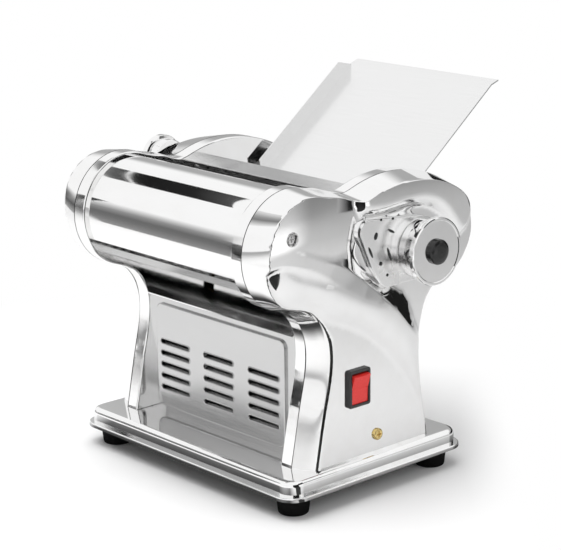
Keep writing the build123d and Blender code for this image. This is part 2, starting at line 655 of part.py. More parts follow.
def adjuster_block(side):
    """Sliding block that carries the adjustable roller, with a boss that seats on the yoke arm."""
    profile = Pos(*ADJUST_AXIS) * Rectangle(*BLOCK)
    block = slab(profile, *PLATE_X) + rod(ADJUST_AXIS, JOURNAL_R + 1.7, YOKE_X[1], PLATE_X[0])
    block -= rod(ADJUST_AXIS, JOURNAL_R + RUN, YOKE_X[1] - 1, PLATE_X[1] + 1)
    if side > 0:
        return block - rod(follower_place(), FOLLOWER_R, PLATE_X[1] - 4, PLATE_X[1] + 1)
    return mirror(block, about=Plane.YZ)


def follower_place():
    return (ADJUST_AXIS[0] + CAM_START_R, ADJUST_AXIS[1])


def cam_follower():
    return rod(follower_place(), FOLLOWER_R, PLATE_X[1] - 4, CAM_X[0] + 3.2)


def roller_yoke():
    """U-shaped yoke that makes both blocks move together."""
    arm = Pos(58, 198) * Rectangle(42, 44)
    arms = slab(arm, YOKE_X[0], YOKE_X[1]) + slab(arm, -YOKE_X[1], -YOKE_X[0])
    bar = slab(Pos(76.5, 210) * Rectangle(5, 16), -YOKE_X[1], YOKE_X[1])
    return arms + bar - rod(ADJUST_AXIS, JOURNAL_R + RUN, -100, 100)


def scraper(axis, angle, foot, half_length):
    """Thin blade whose tip runs close to the roller, clamped in a rod along its lower edge."""
    tip = polar(axis, ROLLER_R + 0.8, angle)
    blade = slab(trace(Line(tip, foot), 1.0), -88, 88)
    return blade + rod(foot, 2.5, -half_length, half_length)


def thickness_cam():
    """Disc with a spiral groove that pushes the follower outwards as the knob turns."""
    sweep = math.radians(KNOB_SWEEP_DEG)
    points = []
    for i in range(13):
        a = sweep * i / 12
        points.append(polar(ADJUST_AXIS, CAM_START_R + GAP_TRAVEL * a / sweep, -math.degrees(a)))
    groove = trace(Spline(*points), 2 * (FOLLOWER_R + 0.1))
    for end in (points[0], points[-1]):
        groove += Pos(*end) * Circle(FOLLOWER_R + 0.1)
    disc = rod(ADJUST_AXIS, 21.0, *CAM_X) - rod(ADJUST_AXIS, KNOB_SHAFT_R, CAM_X[0] - 1, CAM_X[1] + 1)
    return disc - slab(groove, CAM_X[0] - 1, CAM_X[0] + 3.6)


# ---------- thickness knob, dial and its shaft ----------
def turned(points, centre):
    """Turns a closed (x, radius) outline about an axis along X."""
    profile = Plane.XZ * make_face(Polyline(*points, close=True))
    return Pos(0, *centre) * revolve(profile, Axis.X)


def knob_shaft():
    shaft = rod(ADJUST_AXIS, KNOB_SHAFT_R, CAM_X[0], SHAFT_END_X)
    flat = Box(30, 20, 10, align=(Align.MIN, Align.CENTER, Align.MIN))
    return shaft - Pos(KNOB_BACK_X - 3, ADJUST_AXIS[0], ADJUST_AXIS[1] + FLAT_AT) * flat


def knob_bush():
    ring_part = rod(ADJUST_AXIS, 9.0, HOUSING_FACE - WALL - 3, HOUSING_FACE) + rod(
        ADJUST_AXIS, 12.5, HOUSING_FACE - WALL - 3, HOUSING_FACE - WALL
    )
    return ring_part - rod(ADJUST_AXIS, KNOB_SHAFT_R + RUN, 120, 140)


def shaft_bushes():
    shafts = [(DRIVE_AXIS, JOURNAL_R), (UPPER_CUTTER, CUTTER_SHAFT_R), (LOWER_CUTTER, CUTTER_SHAFT_R)]
    bushes = [flanged_bush(axis, shaft_r, side) for axis, shaft_r in shafts for side in (-1, 1)]
    return group(bushes + [knob_bush()])


def thickness_knob():
    face = KNOB_FACE_X
    knob = turned([
        (KNOB_BACK_X, 0), (KNOB_BACK_X, 24.6), (136.1, 25.4), (142.6, 25.6), (143.0, 24.8), (143.8, 24.8),
        (144.2, 26.0), (149.2, 26.4), (150.0, 25.2), (150.8, 25.2), (151.4, 28.6), (152.2, 29.4),
        (156.0, 29.5), (156.7, 29.2), (face, 28.4), (face, 27.0), (face - 0.5, 26.4), (face - 0.5, 0),
    ], ADJUST_AXIS)
    bore = rod(ADJUST_AXIS, KNOB_SHAFT_R + RUN, KNOB_BACK_X - 1, SHAFT_END_X + 0.3)
    flat = Box(30, 20, 10, align=(Align.MIN, Align.CENTER, Align.MIN))
    bore -= Pos(KNOB_BACK_X - 2, ADJUST_AXIS[0], ADJUST_AXIS[1] + FLAT_AT + RUN) * flat
    return knob - bore - rod(ADJUST_AXIS, 11.0, 152, 160)


def knob_plug(centre, seat_x, side):
    plug = turned([
        (seat_x, 0), (seat_x, 11.0), (seat_x + 7.2, 11.0), (seat_x + 8.4, 10.4), (seat_x + 9.3, 8.4),
        (seat_x + 9.8, 5.4), (seat_x + 10.0, 0),
    ], centre)
    return mirror(plug, about=Plane.YZ) if side < 0 else plug


def thickness_dial():
    """Tear-drop plate behind the knob, where the eight settings are marked."""
    rounds = ((ADJUST_AXIS, DIAL_R), ((17.5, 190), 8), ((-9, 231), 10))
    body = make_hull([edge for centre, radius in rounds for edge in (Pos(*centre) * Circle(radius)).edges()])
    plate = slab(body, HOUSING_FACE, HOUSING_FACE + DIAL_T)
    plate = chamfer(plate.faces().sort_by(Axis.X)[-1].edges(), 0.8)
    return plate - rod(ADJUST_AXIS, 9.5, 120, 140)


# ---------- guard knob ----------
def guard_knob():
    back, face = 139.2, 156.0
    knob = turned([
        (back, 0), (back, 17.6), (back + 0.8, 18.4), (148.0, 18.6), (148.4, 17.8), (149.4, 17.8),
        (150.0, 21.0), (150.8, 21.5), (155.2, 21.5), (face, 20.6), (face, 0),
    ], GUARD_KNOB)
    knob -= rod(GUARD_KNOB, GUARD_SHAFT_R, 130, 150) + rod(GUARD_KNOB, 11.0, 152, 160)
    return mirror(knob, about=Plane.YZ)


def guard_shaft():
    """Shaft of the guard knob; its flat tip holds the keyhole of the guard's flange."""
    tip = rod(GUARD_KNOB, GUARD_SHAFT_R, 94.5, INNER_FACE + 0.4)
    tip &= Pos(96, *GUARD_KNOB) * Box(10, 20, 3.0)
    return mirror(rod(GUARD_KNOB, GUARD_SHAFT_R, INNER_FACE + 0.4, 150) + tip, about=Plane.YZ)


# ---------- cutters ----------
def cutter(centre, shift):
    shaft = rod(centre, CUTTER_SHAFT_R, -JOURNAL_END, 104.0) + rod(centre, CORE_R, -91, 91)
    for i in range(CUT_DISCS):
        middle = (i - (CUT_DISCS - 1) / 2) * CUT_PITCH + shift
        shaft += rod(centre, DISC_R, middle - CUT_WIDTH / 2, middle + CUT_WIDTH / 2)
    return shaft


def cutter_comb(centre, shift, angle):
    """Comb whose fingers reach between the discs to lift the noodles out."""
    a = math.radians(angle)
    near, far = CORE_R + 0.4, DISC_R + 6.5
    out, across = (math.cos(a), math.sin(a)), (-math.sin(a), math.cos(a))

    def corner(radius, aside):
        return tuple(centre[i] + radius * out[i] + aside * across[i] for i in (0, 1))

    finger = make_face(Polyline(
        corner(near, -0.8), corner(far, -2), corner(far, 2), corner(near, 0.8), close=True
    ))
    bar = make_face(Polyline(
        corner(far - 3.5, -2), corner(far + 2, -2), corner(far + 2, 2), corner(far - 3.5, 2), close=True
    ))
    comb = slab(bar, -INNER_FACE, INNER_FACE)
    for i in range(CUT_DISCS - 1):
        middle = (i - (CUT_DISCS - 2) / 2) * CUT_PITCH + shift
        comb += slab(finger, middle - 2.9, middle + 2.9)
    return comb


# ---------- motor ----------
def motor_body():
    body = turned([
        (-12, 0), (-12, 36), (-9, 40), (-6, 42), (66, 42), (70, 40), (80, 30), (80, 0),
    ], OUTPUT_AXIS)
    return body


def gearbox_case():
    case = Pos(-51, 0, OUTPUT_AXIS[1]) * Box(78, 78, 78)
    case = fillet(case.edges().filter_by(Axis.X), 8)
    case += rod(OUTPUT_AXIS, 20, -INNER_FACE, -89)
    return case - rod(OUTPUT_AXIS, OUTPUT_SHAFT_R + RUN, -100, -80)


def motor_cradle():
    plate = Pos(-5, 0, BASE_TOP) * Box(150, 60, 3, align=STANDING)
    bearer = Pos(-51, 0, BASE_TOP) * Box(50, 56, 45 - BASE_TOP, align=STANDING)
    saddle = Pos(30, 0, BASE_TOP) * Box(50, 50, 22, align=STANDING)
    return plate + bearer + saddle - rod(OUTPUT_AXIS, 42, 0, 70)


def run_capacitor():
    can = Pos(INNER_FACE - 8, 24, 100) * Box(16, 37, 26)
    return fillet(can.edges().filter_by(Axis.X), 3)


# ---------- switch ----------
def switch_bezel():
    outer = slab(Pos(*SWITCH) * RectangleRounded(25, 33, 2.5), HOUSING_FACE, HOUSING_FACE + 3.5)
    outer = fillet(outer.faces().sort_by(Axis.X)[-1].edges(), 1.0)
    sleeve = slab(Pos(*SWITCH) * Rectangle(21.6, 29.6), 121, HOUSING_FACE)
    opening = slab(Pos(*SWITCH) * Rectangle(19.6, 27.6), 120, HOUSING_FACE + 10)
    pivot = Pos(ROCKER_PIVOT_X, *SWITCH) * Rot(90, 0, 0) * Cylinder(1.5 + RUN, 30)
    return outer + sleeve - opening - (pivot & Pos(ROCKER_PIVOT_X, *SWITCH) * Box(10, 21.2, 10))


def switch_rocker():
    """Rocker with a hollowed face, tilted to its off position."""
    x, (y, z) = ROCKER_PIVOT_X, SWITCH
    profile = make_face(Polyline(
        (-4, -11.5), (4, -12.9), (7.4, -12.6), (5.8, 0), (7.4, 12.6), (4, 12.9), (-4, 11.5), close=True
    ))
    body = extrude(Plane.XZ * profile, amount=9.5, both=True)
    body = body + Rot(90, 0, 0) * Cylinder(1.5, 21.1)
    return Pos(x, y, z) * Rot(0, ROCKER_TILT, 0) * body


def switch_body():
    body = slab(Pos(*SWITCH) * Rectangle(21.6, 29.6), 112, 121)
    for dz in (-8, 0, 8):
        body += Pos(109.5, SWITCH[0], SWITCH[1] + dz) * Box(6, 6.3, 0.8)
    return body


# ---------- export ----------
def machine():
    """Every sub-part by its name."""
    feet, foot_fasteners = feet_pieces()
    brackets, floor_screws = frame_brackets()
    rods, rod_screws = tie_rods()
    posts, chrome_screws, brass_screws = housing_fixings()
    gears = gear_train()
    half_pitch = CUT_PITCH / 4
    return {
        "base_tray": base_tray(),
        "bottom_plate": bottom_plate(),
        "rubber_feet": feet,
        "foot_fasteners": foot_fasteners,
        "right_inner_cover": inner_cover(1),
        "left_inner_cover": inner_cover(-1),
        "right_bearing_plate": bearing_plate(1),
        "left_bearing_plate": bearing_plate(-1),
        "right_housing": housing(1),
        "left_housing": housing(-1),
        "frame_brackets": brackets,
        "frame_screws": group(floor_screws + rod_screws),
        "tie_rods": rods,
        "housing_posts": posts,
        "housing_screws": chrome_screws,
        "base_line_screws": brass_screws,
        "front_cover": front_cover(),
        "top_guard": top_guard(),
        "rear_panel": rear_panel(),
        "cord_gland": cord_gland(),
        "vent_panel": vent_panel(),
        "chute": chute(),
        "cutter_guide": cutter_guide(),
        "feed_plate": feed_plate(),
        "plate_pins": plate_pins(),
        "drive_roller": smooth_roller(DRIVE_AXIS, 104.0),
        "adjust_roller": smooth_roller(ADJUST_AXIS, 104.0),
        "shaft_bushes": shaft_bushes(),
        "adjuster_blocks": group(adjuster_block(side) for side in (-1, 1)),
        "roller_yoke": roller_yoke(),
        "cam_follower": cam_follower(),
        "drive_scraper": scraper(DRIVE_AXIS, 262, (-1.0, 176.0), INNER_FACE),
        "adjust_scraper": scraper(ADJUST_AXIS, 278, (59.5, 179.0), YOKE_X[0]),
        "upper_cutter": cutter(UPPER_CUTTER, half_pitch),
        "lower_cutter": cutter(LOWER_CUTTER, -half_pitch),
        "cutter_combs": group([
            cutter_comb(UPPER_CUTTER, half_pitch, 240), cutter_comb(LOWER_CUTTER, -half_pitch, 250)
        ]),
        "drive_roller_gear": gears["drive"],
        "adjust_roller_gear": gears["adjust"],
        "motor_idler_gear": gears["motor_idler"],
        "cutter_idler_gear": gears["cutter_idler"],
        "upper_cutter_gear": gears["upper_cutter"],
        "lower_cutter_gear": gears["lower_cutter"],
        "output_gear": gears["output"],
        "output_shaft": rod(OUTPUT_AXIS, OUTPUT_SHAFT_R, -JOURNAL_END, -82),
        "idler_studs": idler_studs(),
        "gearbox_case": gearbox_case(),
        "motor_body": motor_body(),
        "motor_cradle": motor_cradle(),
        "run_capacitor": run_capacitor(),
        "thickness_knob": thickness_knob(),
        "knob_plug": knob_plug(ADJUST_AXIS, 152.0, 1),
        "guard_knob": guard_knob(),
        "guard_knob_plug": knob_plug(GUARD_KNOB, 152.0, -1),
        "guard_shaft": guard_shaft(),
        "knob_shaft": knob_shaft(),
        "thickness_cam": thickness_cam(),
        "thickness_dial": thickness_dial(),
        "switch_bezel": switch_bezel(),
        "switch_rocker": switch_rocker(),
        "switch_body": switch_body(),
    }


pieces = machine()
front_end = FRONT_LOBE[0] - FRONT_LOBE_R
rear_end = pieces["feed_plate"].bounding_box().max.Y
to_origin = Pos(0, -(front_end + rear_end) / 2, 0)
print("shift along Y on export:", to_origin.position.Y)

os.makedirs("parts", exist_ok=True)
for name, piece in pieces.items():
    export_step(to_origin * piece, f"parts/{name}.step")
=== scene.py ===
# %% [markdown]
# # A polished electric noodle machine
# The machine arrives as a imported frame: every shaft, plate, gear and cover is already at its real
# size and place, in metres, with +X along the rollers and -Y towards the front. This lesson
# dresses that frame. Flat and turned parts keep their meshes and get finishes. The sculpted side
# housings and the marked dial are made again here, because their charm lies in soft transitions
# that a machinist's model doesn't carry, and the pressed louvres get their rolled lips.
#
# Mirror steel shows its surroundings and almost nothing of itself, so the last part of this lesson
# builds a small studio around the machine.

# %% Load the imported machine
import bmesh
import bpy
import json
import math
import numpy as np
from mathutils import Matrix, Vector
from mathutils.geometry import delaunay_2d_cdt


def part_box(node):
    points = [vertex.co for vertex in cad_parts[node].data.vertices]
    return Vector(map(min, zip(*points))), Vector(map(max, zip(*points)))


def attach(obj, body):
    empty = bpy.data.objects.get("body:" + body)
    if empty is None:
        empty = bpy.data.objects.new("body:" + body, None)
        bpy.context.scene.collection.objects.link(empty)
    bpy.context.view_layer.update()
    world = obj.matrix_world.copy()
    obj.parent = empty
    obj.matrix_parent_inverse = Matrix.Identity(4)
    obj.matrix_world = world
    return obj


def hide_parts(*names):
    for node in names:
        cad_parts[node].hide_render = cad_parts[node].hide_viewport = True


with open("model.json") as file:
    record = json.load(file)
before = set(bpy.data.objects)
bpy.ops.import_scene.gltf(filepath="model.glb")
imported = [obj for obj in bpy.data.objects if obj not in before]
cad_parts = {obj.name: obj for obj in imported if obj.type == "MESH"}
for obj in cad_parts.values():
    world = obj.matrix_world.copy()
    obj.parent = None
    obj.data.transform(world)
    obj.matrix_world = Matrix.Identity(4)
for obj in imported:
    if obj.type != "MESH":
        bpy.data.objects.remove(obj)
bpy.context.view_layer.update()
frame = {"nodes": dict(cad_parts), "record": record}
nodes = frame["nodes"]
slot_of = {row["node"]: row["material_slot"] for row in frame["record"]["subparts"]}
body_of = {node: body for body, names in frame["record"]["behaviour"]["bodies"].items() for node in names}

# %% [markdown]
# ## Camera
# Product pictures of small kitchen machines are taken from a few metres with a long lens, so that
# parallel edges stay nearly parallel. The view turns 48 degrees to the right of the front and
# looks down by 15 degrees. The small roll levels the picture.

# %% Camera
CAMERA_PLACE = (1.2291, -1.1394, 0.6107)
CAMERA_TURN, CAMERA_TILT, CAMERA_ROLL = 47.71, 15.04, -0.51
LENS = 123.4

lens = bpy.data.cameras.new("portrait lens")
lens.lens = LENS
camera = bpy.data.objects.new("camera", lens)
turn = Matrix.Rotation(math.radians(CAMERA_TURN), 4, "Z")
tilt = Matrix.Rotation(math.radians(90 - CAMERA_TILT), 4, "X")
roll = Matrix.Rotation(math.radians(CAMERA_ROLL), 4, "Z")
camera.matrix_world = Matrix.Translation(CAMERA_PLACE) @ turn @ tilt @ roll
bpy.context.scene.collection.objects.link(camera)
bpy.context.scene.camera = camera
bpy.context.scene.view_settings.view_transform = "Standard"
print("camera stands", round(camera.matrix_world.translation.length, 3), "m from the origin")

# %% [markdown]
# ## Small node helpers
# A material is a graph of nodes, and so is a shape made by rules. A few helpers keep the recipes
# short: one adds a node and fills its inputs, one does a step of arithmetic, one eases from one
# value to another, and two write down greys.


# %% Node helpers
def add(tree, kind, values=None, **settings):
    """Adds a node, sets its properties, and fills its inputs from numbers, colours or sockets."""
    node = tree.nodes.new(kind)
    for name, value in settings.items():
        setattr(node, name, value)
    for name, value in (values or {}).items():
        if isinstance(value, bpy.types.NodeSocket):
            tree.links.new(value, node.inputs[name])
        else:
            node.inputs[name].default_value = value
    return node


def math_node(tree, operation, *values):
    """One arithmetic step on numbers or sockets."""
    return add(tree, "ShaderNodeMath", dict(enumerate(values)), operation=operation).outputs[0]


def eased(tree, value, reach, low=0.0, high=1.0):
    """A number that turns softly from low to high while the value runs over its reach (from, to)."""
    node = add(tree, "ShaderNodeMapRange", {
        "Value": value, "From Min": reach[0], "From Max": reach[1], "To Min": low, "To Max": high,
    }, interpolation_type="SMOOTHSTEP")
    return node.outputs["Result"]


def grey(level, warm=0.0):
    """A near-neutral colour; warm tips it towards amber."""
    return (level * (1 + warm), level, level * (1 - warm), 1.0)


def ramp(tree, factor, stops):
    """A ramp of greys: stops are (position, level) pairs."""
    node = add(tree, "ShaderNodeValToRGB", {"Fac": factor})
    elements = node.color_ramp.elements
    while len(elements) < len(stops):
        elements.new(0.5)
    for element, (position, level) in zip(elements, stops):
        element.position = position
        element.color = grey(level)
    return node.outputs["Color"]


# %% [markdown]
# ## Shared surface effects
# Three effects come back in several finishes, so each is a node group that is made once. *Grain*
# is the fine drawn line of rolled or brushed sheet, *handling* is the soft uneven haze that
# cleaning cloths leave on polished steel, and *pebble* is the dull skin of moulded or cast parts.


# %% Effect groups
def new_group(name, inputs, outputs):
    """An empty shader group with float inputs (name, default) and float outputs."""
    group = bpy.data.node_groups.new(name, "ShaderNodeTree")
    for label, default in inputs:
        socket = group.interface.new_socket(label, in_out="INPUT", socket_type="NodeSocketFloat")
        socket.default_value = default
    for label in outputs:
        group.interface.new_socket(label, in_out="OUTPUT", socket_type="NodeSocketFloat")
    return group, group.nodes.new("NodeGroupInput"), group.nodes.new("NodeGroupOutput")


def grain_group():
    """Fine lines along one axis, from 0 to 1: a noise whose place is squeezed along that axis."""
    group, given, result = new_group(
        "drawn grain", [("Lines per metre", 900.0), ("Stretch", 40.0)], ["Lines"])
    place = add(group, "ShaderNodeTexCoord").outputs["Object"]
    parts = add(group, "ShaderNodeSeparateXYZ", {"Vector": place}).outputs
    along = math_node(group, "DIVIDE", parts["X"], given.outputs["Stretch"])
    squeezed = add(group, "ShaderNodeCombineXYZ", {"X": along, "Y": parts["Y"], "Z": parts["Z"]})
    noise = add(group, "ShaderNodeTexNoise", {
        "Vector": squeezed.outputs[0], "Scale": given.outputs["Lines per metre"],
        "Detail": 3.0, "Roughness": 0.7,
    })
    group.links.new(noise.outputs["Fac"], result.inputs["Lines"])
    return group


WIPE_TURN, WIPE_STRETCH = (0.5, 0.3, 0.2), (0.2, 1.0, 1.0)  # the way a cloth is drawn, and its long strokes
HAZE_RANGE = (0.15, 0.42)  # levels of cloud times stroke that count as clean and as dull


def handling_group():
    """Soft cloudy haze with a few faint wiping strokes, from 0 for clean to 1 for dull."""
    group, given, result = new_group(
        "handling", [("Clouds per metre", 14.0), ("Strokes per metre", 90.0)], ["Haze"])
    place = add(group, "ShaderNodeTexCoord").outputs["Object"]
    cloud = add(group, "ShaderNodeTexNoise", {
        "Vector": place, "Scale": given.outputs["Clouds per metre"], "Detail": 4.0})
    wiped = add(group, "ShaderNodeMapping", {
        "Vector": place, "Rotation": WIPE_TURN, "Scale": WIPE_STRETCH})
    stroke = add(group, "ShaderNodeTexNoise", {
        "Vector": wiped.outputs[0], "Scale": given.outputs["Strokes per metre"], "Detail": 2.0})
    both = math_node(group, "MULTIPLY", cloud.outputs["Fac"], stroke.outputs["Fac"])
    spread = add(group, "ShaderNodeMapRange", {
        "Value": both, "From Min": HAZE_RANGE[0], "From Max": HAZE_RANGE[1]}, clamp=True)
    group.links.new(spread.outputs["Result"], result.inputs["Haze"])
    return group


def pebble_group():
    """The even fine bumps of moulded plastic, rubber or a casting."""
    group, given, result = new_group("pebble", [("Bumps per metre", 1500.0)], ["Height"])
    place = add(group, "ShaderNodeTexCoord").outputs["Object"]
    noise = add(group, "ShaderNodeTexNoise", {
        "Vector": place, "Scale": given.outputs["Bumps per metre"], "Detail": 2.0, "Roughness": 0.55})
    group.links.new(noise.outputs["Fac"], result.inputs["Height"])
    return group


EFFECTS = {"grain": grain_group(), "handling": handling_group(), "pebble": pebble_group()}
print("effect groups:", ", ".join(EFFECTS))


# %% [markdown]
# ## Finishes
# Each finish is one Principled surface. The groups above only steer its roughness, colour and
# bump, so a baker or another renderer can follow them.


# %% Finish helpers
def surface(name, metallic=0.0, **sockets):
    """A new material with its Principled node; sockets are set by their plain names."""
    material = bpy.data.materials.new(name)
    material.use_nodes = True
    tree = material.node_tree
    shader = tree.nodes["Principled BSDF"]
    shader.inputs["Metallic"].default_value = metallic
    for label, value in sockets.items():
        shader.inputs[label.replace("_", " ")].default_value = value
    return material, tree, shader


def effect(tree, name, **inputs):
    """Places one of the shared groups and sets its inputs."""
    node = add(tree, "ShaderNodeGroup", node_tree=EFFECTS[name])
    for label, value in inputs.items():
        node.inputs[label.replace("_", " ")].default_value = value
    return node.outputs[0]


def between(tree, factor, low, high):
    """A number that runs evenly from low to high as a mask runs from 0 to 1."""
    node = add(tree, "ShaderNodeMapRange", {"Value": factor, "To Min": low, "To Max": high})
    return node.outputs["Result"]


def tint(tree, factor, low, high):
    """A colour that runs from low to high as a mask runs from 0 to 1."""
    mix = add(tree, "ShaderNodeMix", {0: factor, 6: low, 7: high}, data_type="RGBA")
    return mix.outputs[2]


def bump(tree, shader, height, distance, strength=1.0):
    """Raises the surface by a height mask, over a distance in metres."""
    node = add(tree, "ShaderNodeBump", {"Height": height, "Distance": distance, "Strength": strength})
    tree.links.new(node.outputs["Normal"], shader.inputs["Normal"])


def dimmed(colour, share):
    """A colour at a share of its level."""
    return tuple(c * share for c in colour[:3]) + (1.0,)


# %% Finishes by kind of work
HAZE_DIMS, HAZE_WARMS = 0.03, 0.004  # how much darker and warmer hazy steel is than clean steel
LINES_DIM, LINES_LIFT = 0.05, 0.03  # how far drawn lines go below and above the sheet's own level
LINE_STRENGTH = 0.5
HOLLOW_SHADE_SHARE, SKIN_GLOSS = 0.82, 0.05  # painted shade: the colour's level in a pebbled skin's hollows, and the skin's spread of roughness
FILM_CLOUDS, FILM_STROKES = 160.0, 700.0  # per metre, on small pieces of brass and bronze
FILM_SHARE, FILM_DULLS = 0.7, 0.2  # level of the metal under a dull film, and what that adds in roughness


def mirror_steel(name, level=0.93, clean=0.035, dull=0.11):
    """Polished stainless: bright, nearly clean, with a little haze."""
    material, tree, shader = surface(name, metallic=1.0)
    haze = effect(tree, "handling")
    hazy = grey(level - HAZE_DIMS, warm=HAZE_WARMS)
    tree.links.new(between(tree, haze, clean, dull), shader.inputs["Roughness"])
    tree.links.new(tint(tree, haze, grey(level), hazy), shader.inputs["Base Color"])
    return material


def drawn_steel(name, level, smooth, rough, lines=900.0, depth=0.000008):
    """Sheet or bar with fine lines along the rollers."""
    material, tree, shader = surface(name, metallic=1.0)
    line_mask = effect(tree, "grain", Lines_per_metre=lines)
    shades = tint(tree, line_mask, grey(level - LINES_DIM), grey(level + LINES_LIFT))
    tree.links.new(between(tree, line_mask, smooth, rough), shader.inputs["Roughness"])
    tree.links.new(shades, shader.inputs["Base Color"])
    bump(tree, shader, line_mask, depth, strength=LINE_STRENGTH)
    return material


def moulded(name, colour, roughness, bumps=1500.0, depth=0.00003, **sockets):
    """Plastic, rubber, enamel or a casting: a body colour with a fine pebbled skin, its hollows in painted
    shade.
    """
    material, tree, shader = surface(name, **sockets)
    height = effect(tree, "pebble", Bumps_per_metre=bumps)
    gloss = between(tree, height, roughness - SKIN_GLOSS, roughness + SKIN_GLOSS)
    # painted shade: the skin's hollows take a darker copy of the body colour
    tree.links.new(tint(tree, height, dimmed(colour, HOLLOW_SHADE_SHARE), colour), shader.inputs["Base Color"])
    tree.links.new(gloss, shader.inputs["Roughness"])
    bump(tree, shader, height, depth)
    return material


def yellow_metal(name, colour, roughness):
    """Brass or bronze with a patchy dull film."""
    material, tree, shader = surface(name, metallic=1.0)
    haze = effect(tree, "handling", Clouds_per_metre=FILM_CLOUDS, Strokes_per_metre=FILM_STROKES)
    tree.links.new(tint(tree, haze, colour, dimmed(colour, FILM_SHARE)), shader.inputs["Base Color"])
    tree.links.new(between(tree, haze, roughness, roughness + FILM_DULLS), shader.inputs["Roughness"])
    return material


# %% One finish for each of the machine's material slots
FINISHES = {
    "mirror_steel": mirror_steel("mirror steel"),
    "bright_sheet": drawn_steel("bright sheet", 0.88, 0.16, 0.26),
    "plate_steel": drawn_steel("plate steel", 0.62, 0.3, 0.45),
    "bar_steel": drawn_steel("bar steel", 0.72, 0.18, 0.3, lines=2400.0),
    "roller_steel": mirror_steel("roller steel", 0.8, 0.08, 0.16),
    "cutter_steel": drawn_steel("cutter steel", 0.7, 0.15, 0.3, lines=1500.0),
    "strip_steel": drawn_steel("strip steel", 0.75, 0.15, 0.28),
    "gear_steel": moulded("gear steel", grey(0.36), 0.38, metallic=1.0),
    "bush_bronze": yellow_metal("bush bronze", (0.6, 0.4, 0.2, 1.0), 0.3),
    "screw_steel": mirror_steel("screw steel", 0.7, 0.1, 0.2),
    "screw_brass": yellow_metal("screw brass", (0.86, 0.66, 0.28, 1.0), 0.18),
    "knob_chrome": mirror_steel("knob chrome", 0.92, 0.05, 0.1),
    "dial_plate": mirror_steel("dial plate", 0.95, 0.22, 0.3),
    "plug_black": moulded("plug black", grey(0.012), 0.2, bumps=400.0, depth=0.00001),
    "rocker_red": moulded("rocker red", (0.82, 0.035, 0.03, 1.0), 0.25, bumps=600.0, depth=0.00001),
    "switch_black": moulded("switch black", grey(0.03), 0.35),
    "foot_rubber": moulded("foot rubber", grey(0.008), 0.2, bumps=500.0, depth=0.00001),
    "motor_paint": moulded("motor paint", grey(0.02), 0.35, bumps=700.0),
    "cast_alloy": moulded("cast alloy", grey(0.5), 0.45, bumps=900.0, depth=0.00008, metallic=1.0),
    "capacitor_case": moulded("capacitor case", grey(0.02), 0.4),
}

# %% The finish of each node
# The louvred panel is the same sheet as the other covers, in a darker copy with a little less roughness;
# its darker level is painted shade.
SHADED_PANEL_SHEET = drawn_steel("shaded panel sheet", 0.6, 0.14, 0.24)
for name, node in nodes.items():
    finish = SHADED_PANEL_SHEET if name == "vent_panel" else FINISHES[slot_of[name]]
    for material_slot in node.material_slots:
        material_slot.material = finish
print("finishes:", len(FINISHES) + 1)

# %% [markdown]
# ## Side housings
# Each side is one deep-drawn shell. Its wall leans in towards a flat face; out of the face swell a
# dome with a belly below it, a ridge that sweeps down to the rear foot, and a crescent over the
# knob. Drawing dies give such a shell long soft swells on one side of a form and a crisp line on
# the other. Subdivision cages smear the crisp lines, so this shell is a height field instead:
# for every point of the side plan, a rule says how far out the steel stands. Swells are joined by
# a soft minimum or maximum whose softness is a length, and the same rule gives exact normals, which
# a mirror needs.

# %% Plan of the side, in millimetres from the middle of the base
RIGHT, LEFT = 1, -1  # the sides of the machine, by the sign of x
SEAM_X, FACE_X = 111.5, 131.0  # where the shell meets the inner cover, and its flat face
RELIEF = 7.5  # height of the swells over the face
FOOT_Z = 34.0
FRONT_LOBE, FRONT_LOBE_R = (-78.0, 224.0), 51.5
REAR_LOBE, REAR_LOBE_R = (77.0, 214.0), 50.0
KNOB_AXIS, GUARD_AXIS = (50.0, 208.0), (3.5, 251.0)
SWITCH, SWITCH_HALF = (-18.5, 97.5), (10.9, 14.9)
DOME_SCREW, LOW_SCREW = (-99.0, 241.0), (5.0, 50.0)
low_corner, high_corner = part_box("base_tray")
SHIFT_Y = (low_corner[1] + high_corner[1]) / 2


def at(x, y, z):
    """A plan point in millimetres as a place in the scene."""
    return (x / 1000, y / 1000 + SHIFT_Y, z / 1000)


def on_circle(centre, radius, degrees):
    """The point of a circle at that angle."""
    turned = math.radians(degrees)
    return (centre[0] + radius * math.cos(turned), centre[1] + radius * math.sin(turned))


def going(degrees):
    """The direction of travel on a circle at that angle."""
    return (-math.sin(math.radians(degrees)), math.cos(math.radians(degrees)))


def arc(centre, radius, start, sweep, step=2.0):
    """Points along a part of a circle, about a step apart."""
    count = max(2, int(abs(math.radians(sweep)) * radius / step))
    return [on_circle(centre, radius, start + sweep * k / count) for k in range(count + 1)]


def smooth_line(points, leave, arrive, step=2.0):
    """A curve through the points with no jump in bend, leaving and arriving in given directions."""
    p = np.array(points, float)
    t = np.concatenate([[0.0], np.cumsum(np.hypot(*np.diff(p, axis=0).T))])
    count = len(p)
    left, right = np.eye(count), np.zeros((count, 2))
    right[0], right[-1] = leave, arrive
    for i in range(1, count - 1):
        before, after = t[i] - t[i - 1], t[i + 1] - t[i]
        left[i, i - 1:i + 2] = after, 2 * (before + after), before
        right[i] = 3 * (after * (p[i] - p[i - 1]) / before + before * (p[i + 1] - p[i]) / after)
    slopes = np.linalg.solve(left, right)
    drawn = []
    for i in range(count - 1):
        span = t[i + 1] - t[i]
        for s in np.arange(0, 1, step / span):
            s2, s3 = s * s, s * s * s
            drawn.append((2 * s3 - 3 * s2 + 1) * p[i] + (s3 - 2 * s2 + s) * span * slopes[i]
                         + (3 * s2 - 2 * s3) * p[i + 1] + (s3 - s2) * span * slopes[i + 1])
    return [tuple(q) for q in drawn] + [tuple(p[-1])]


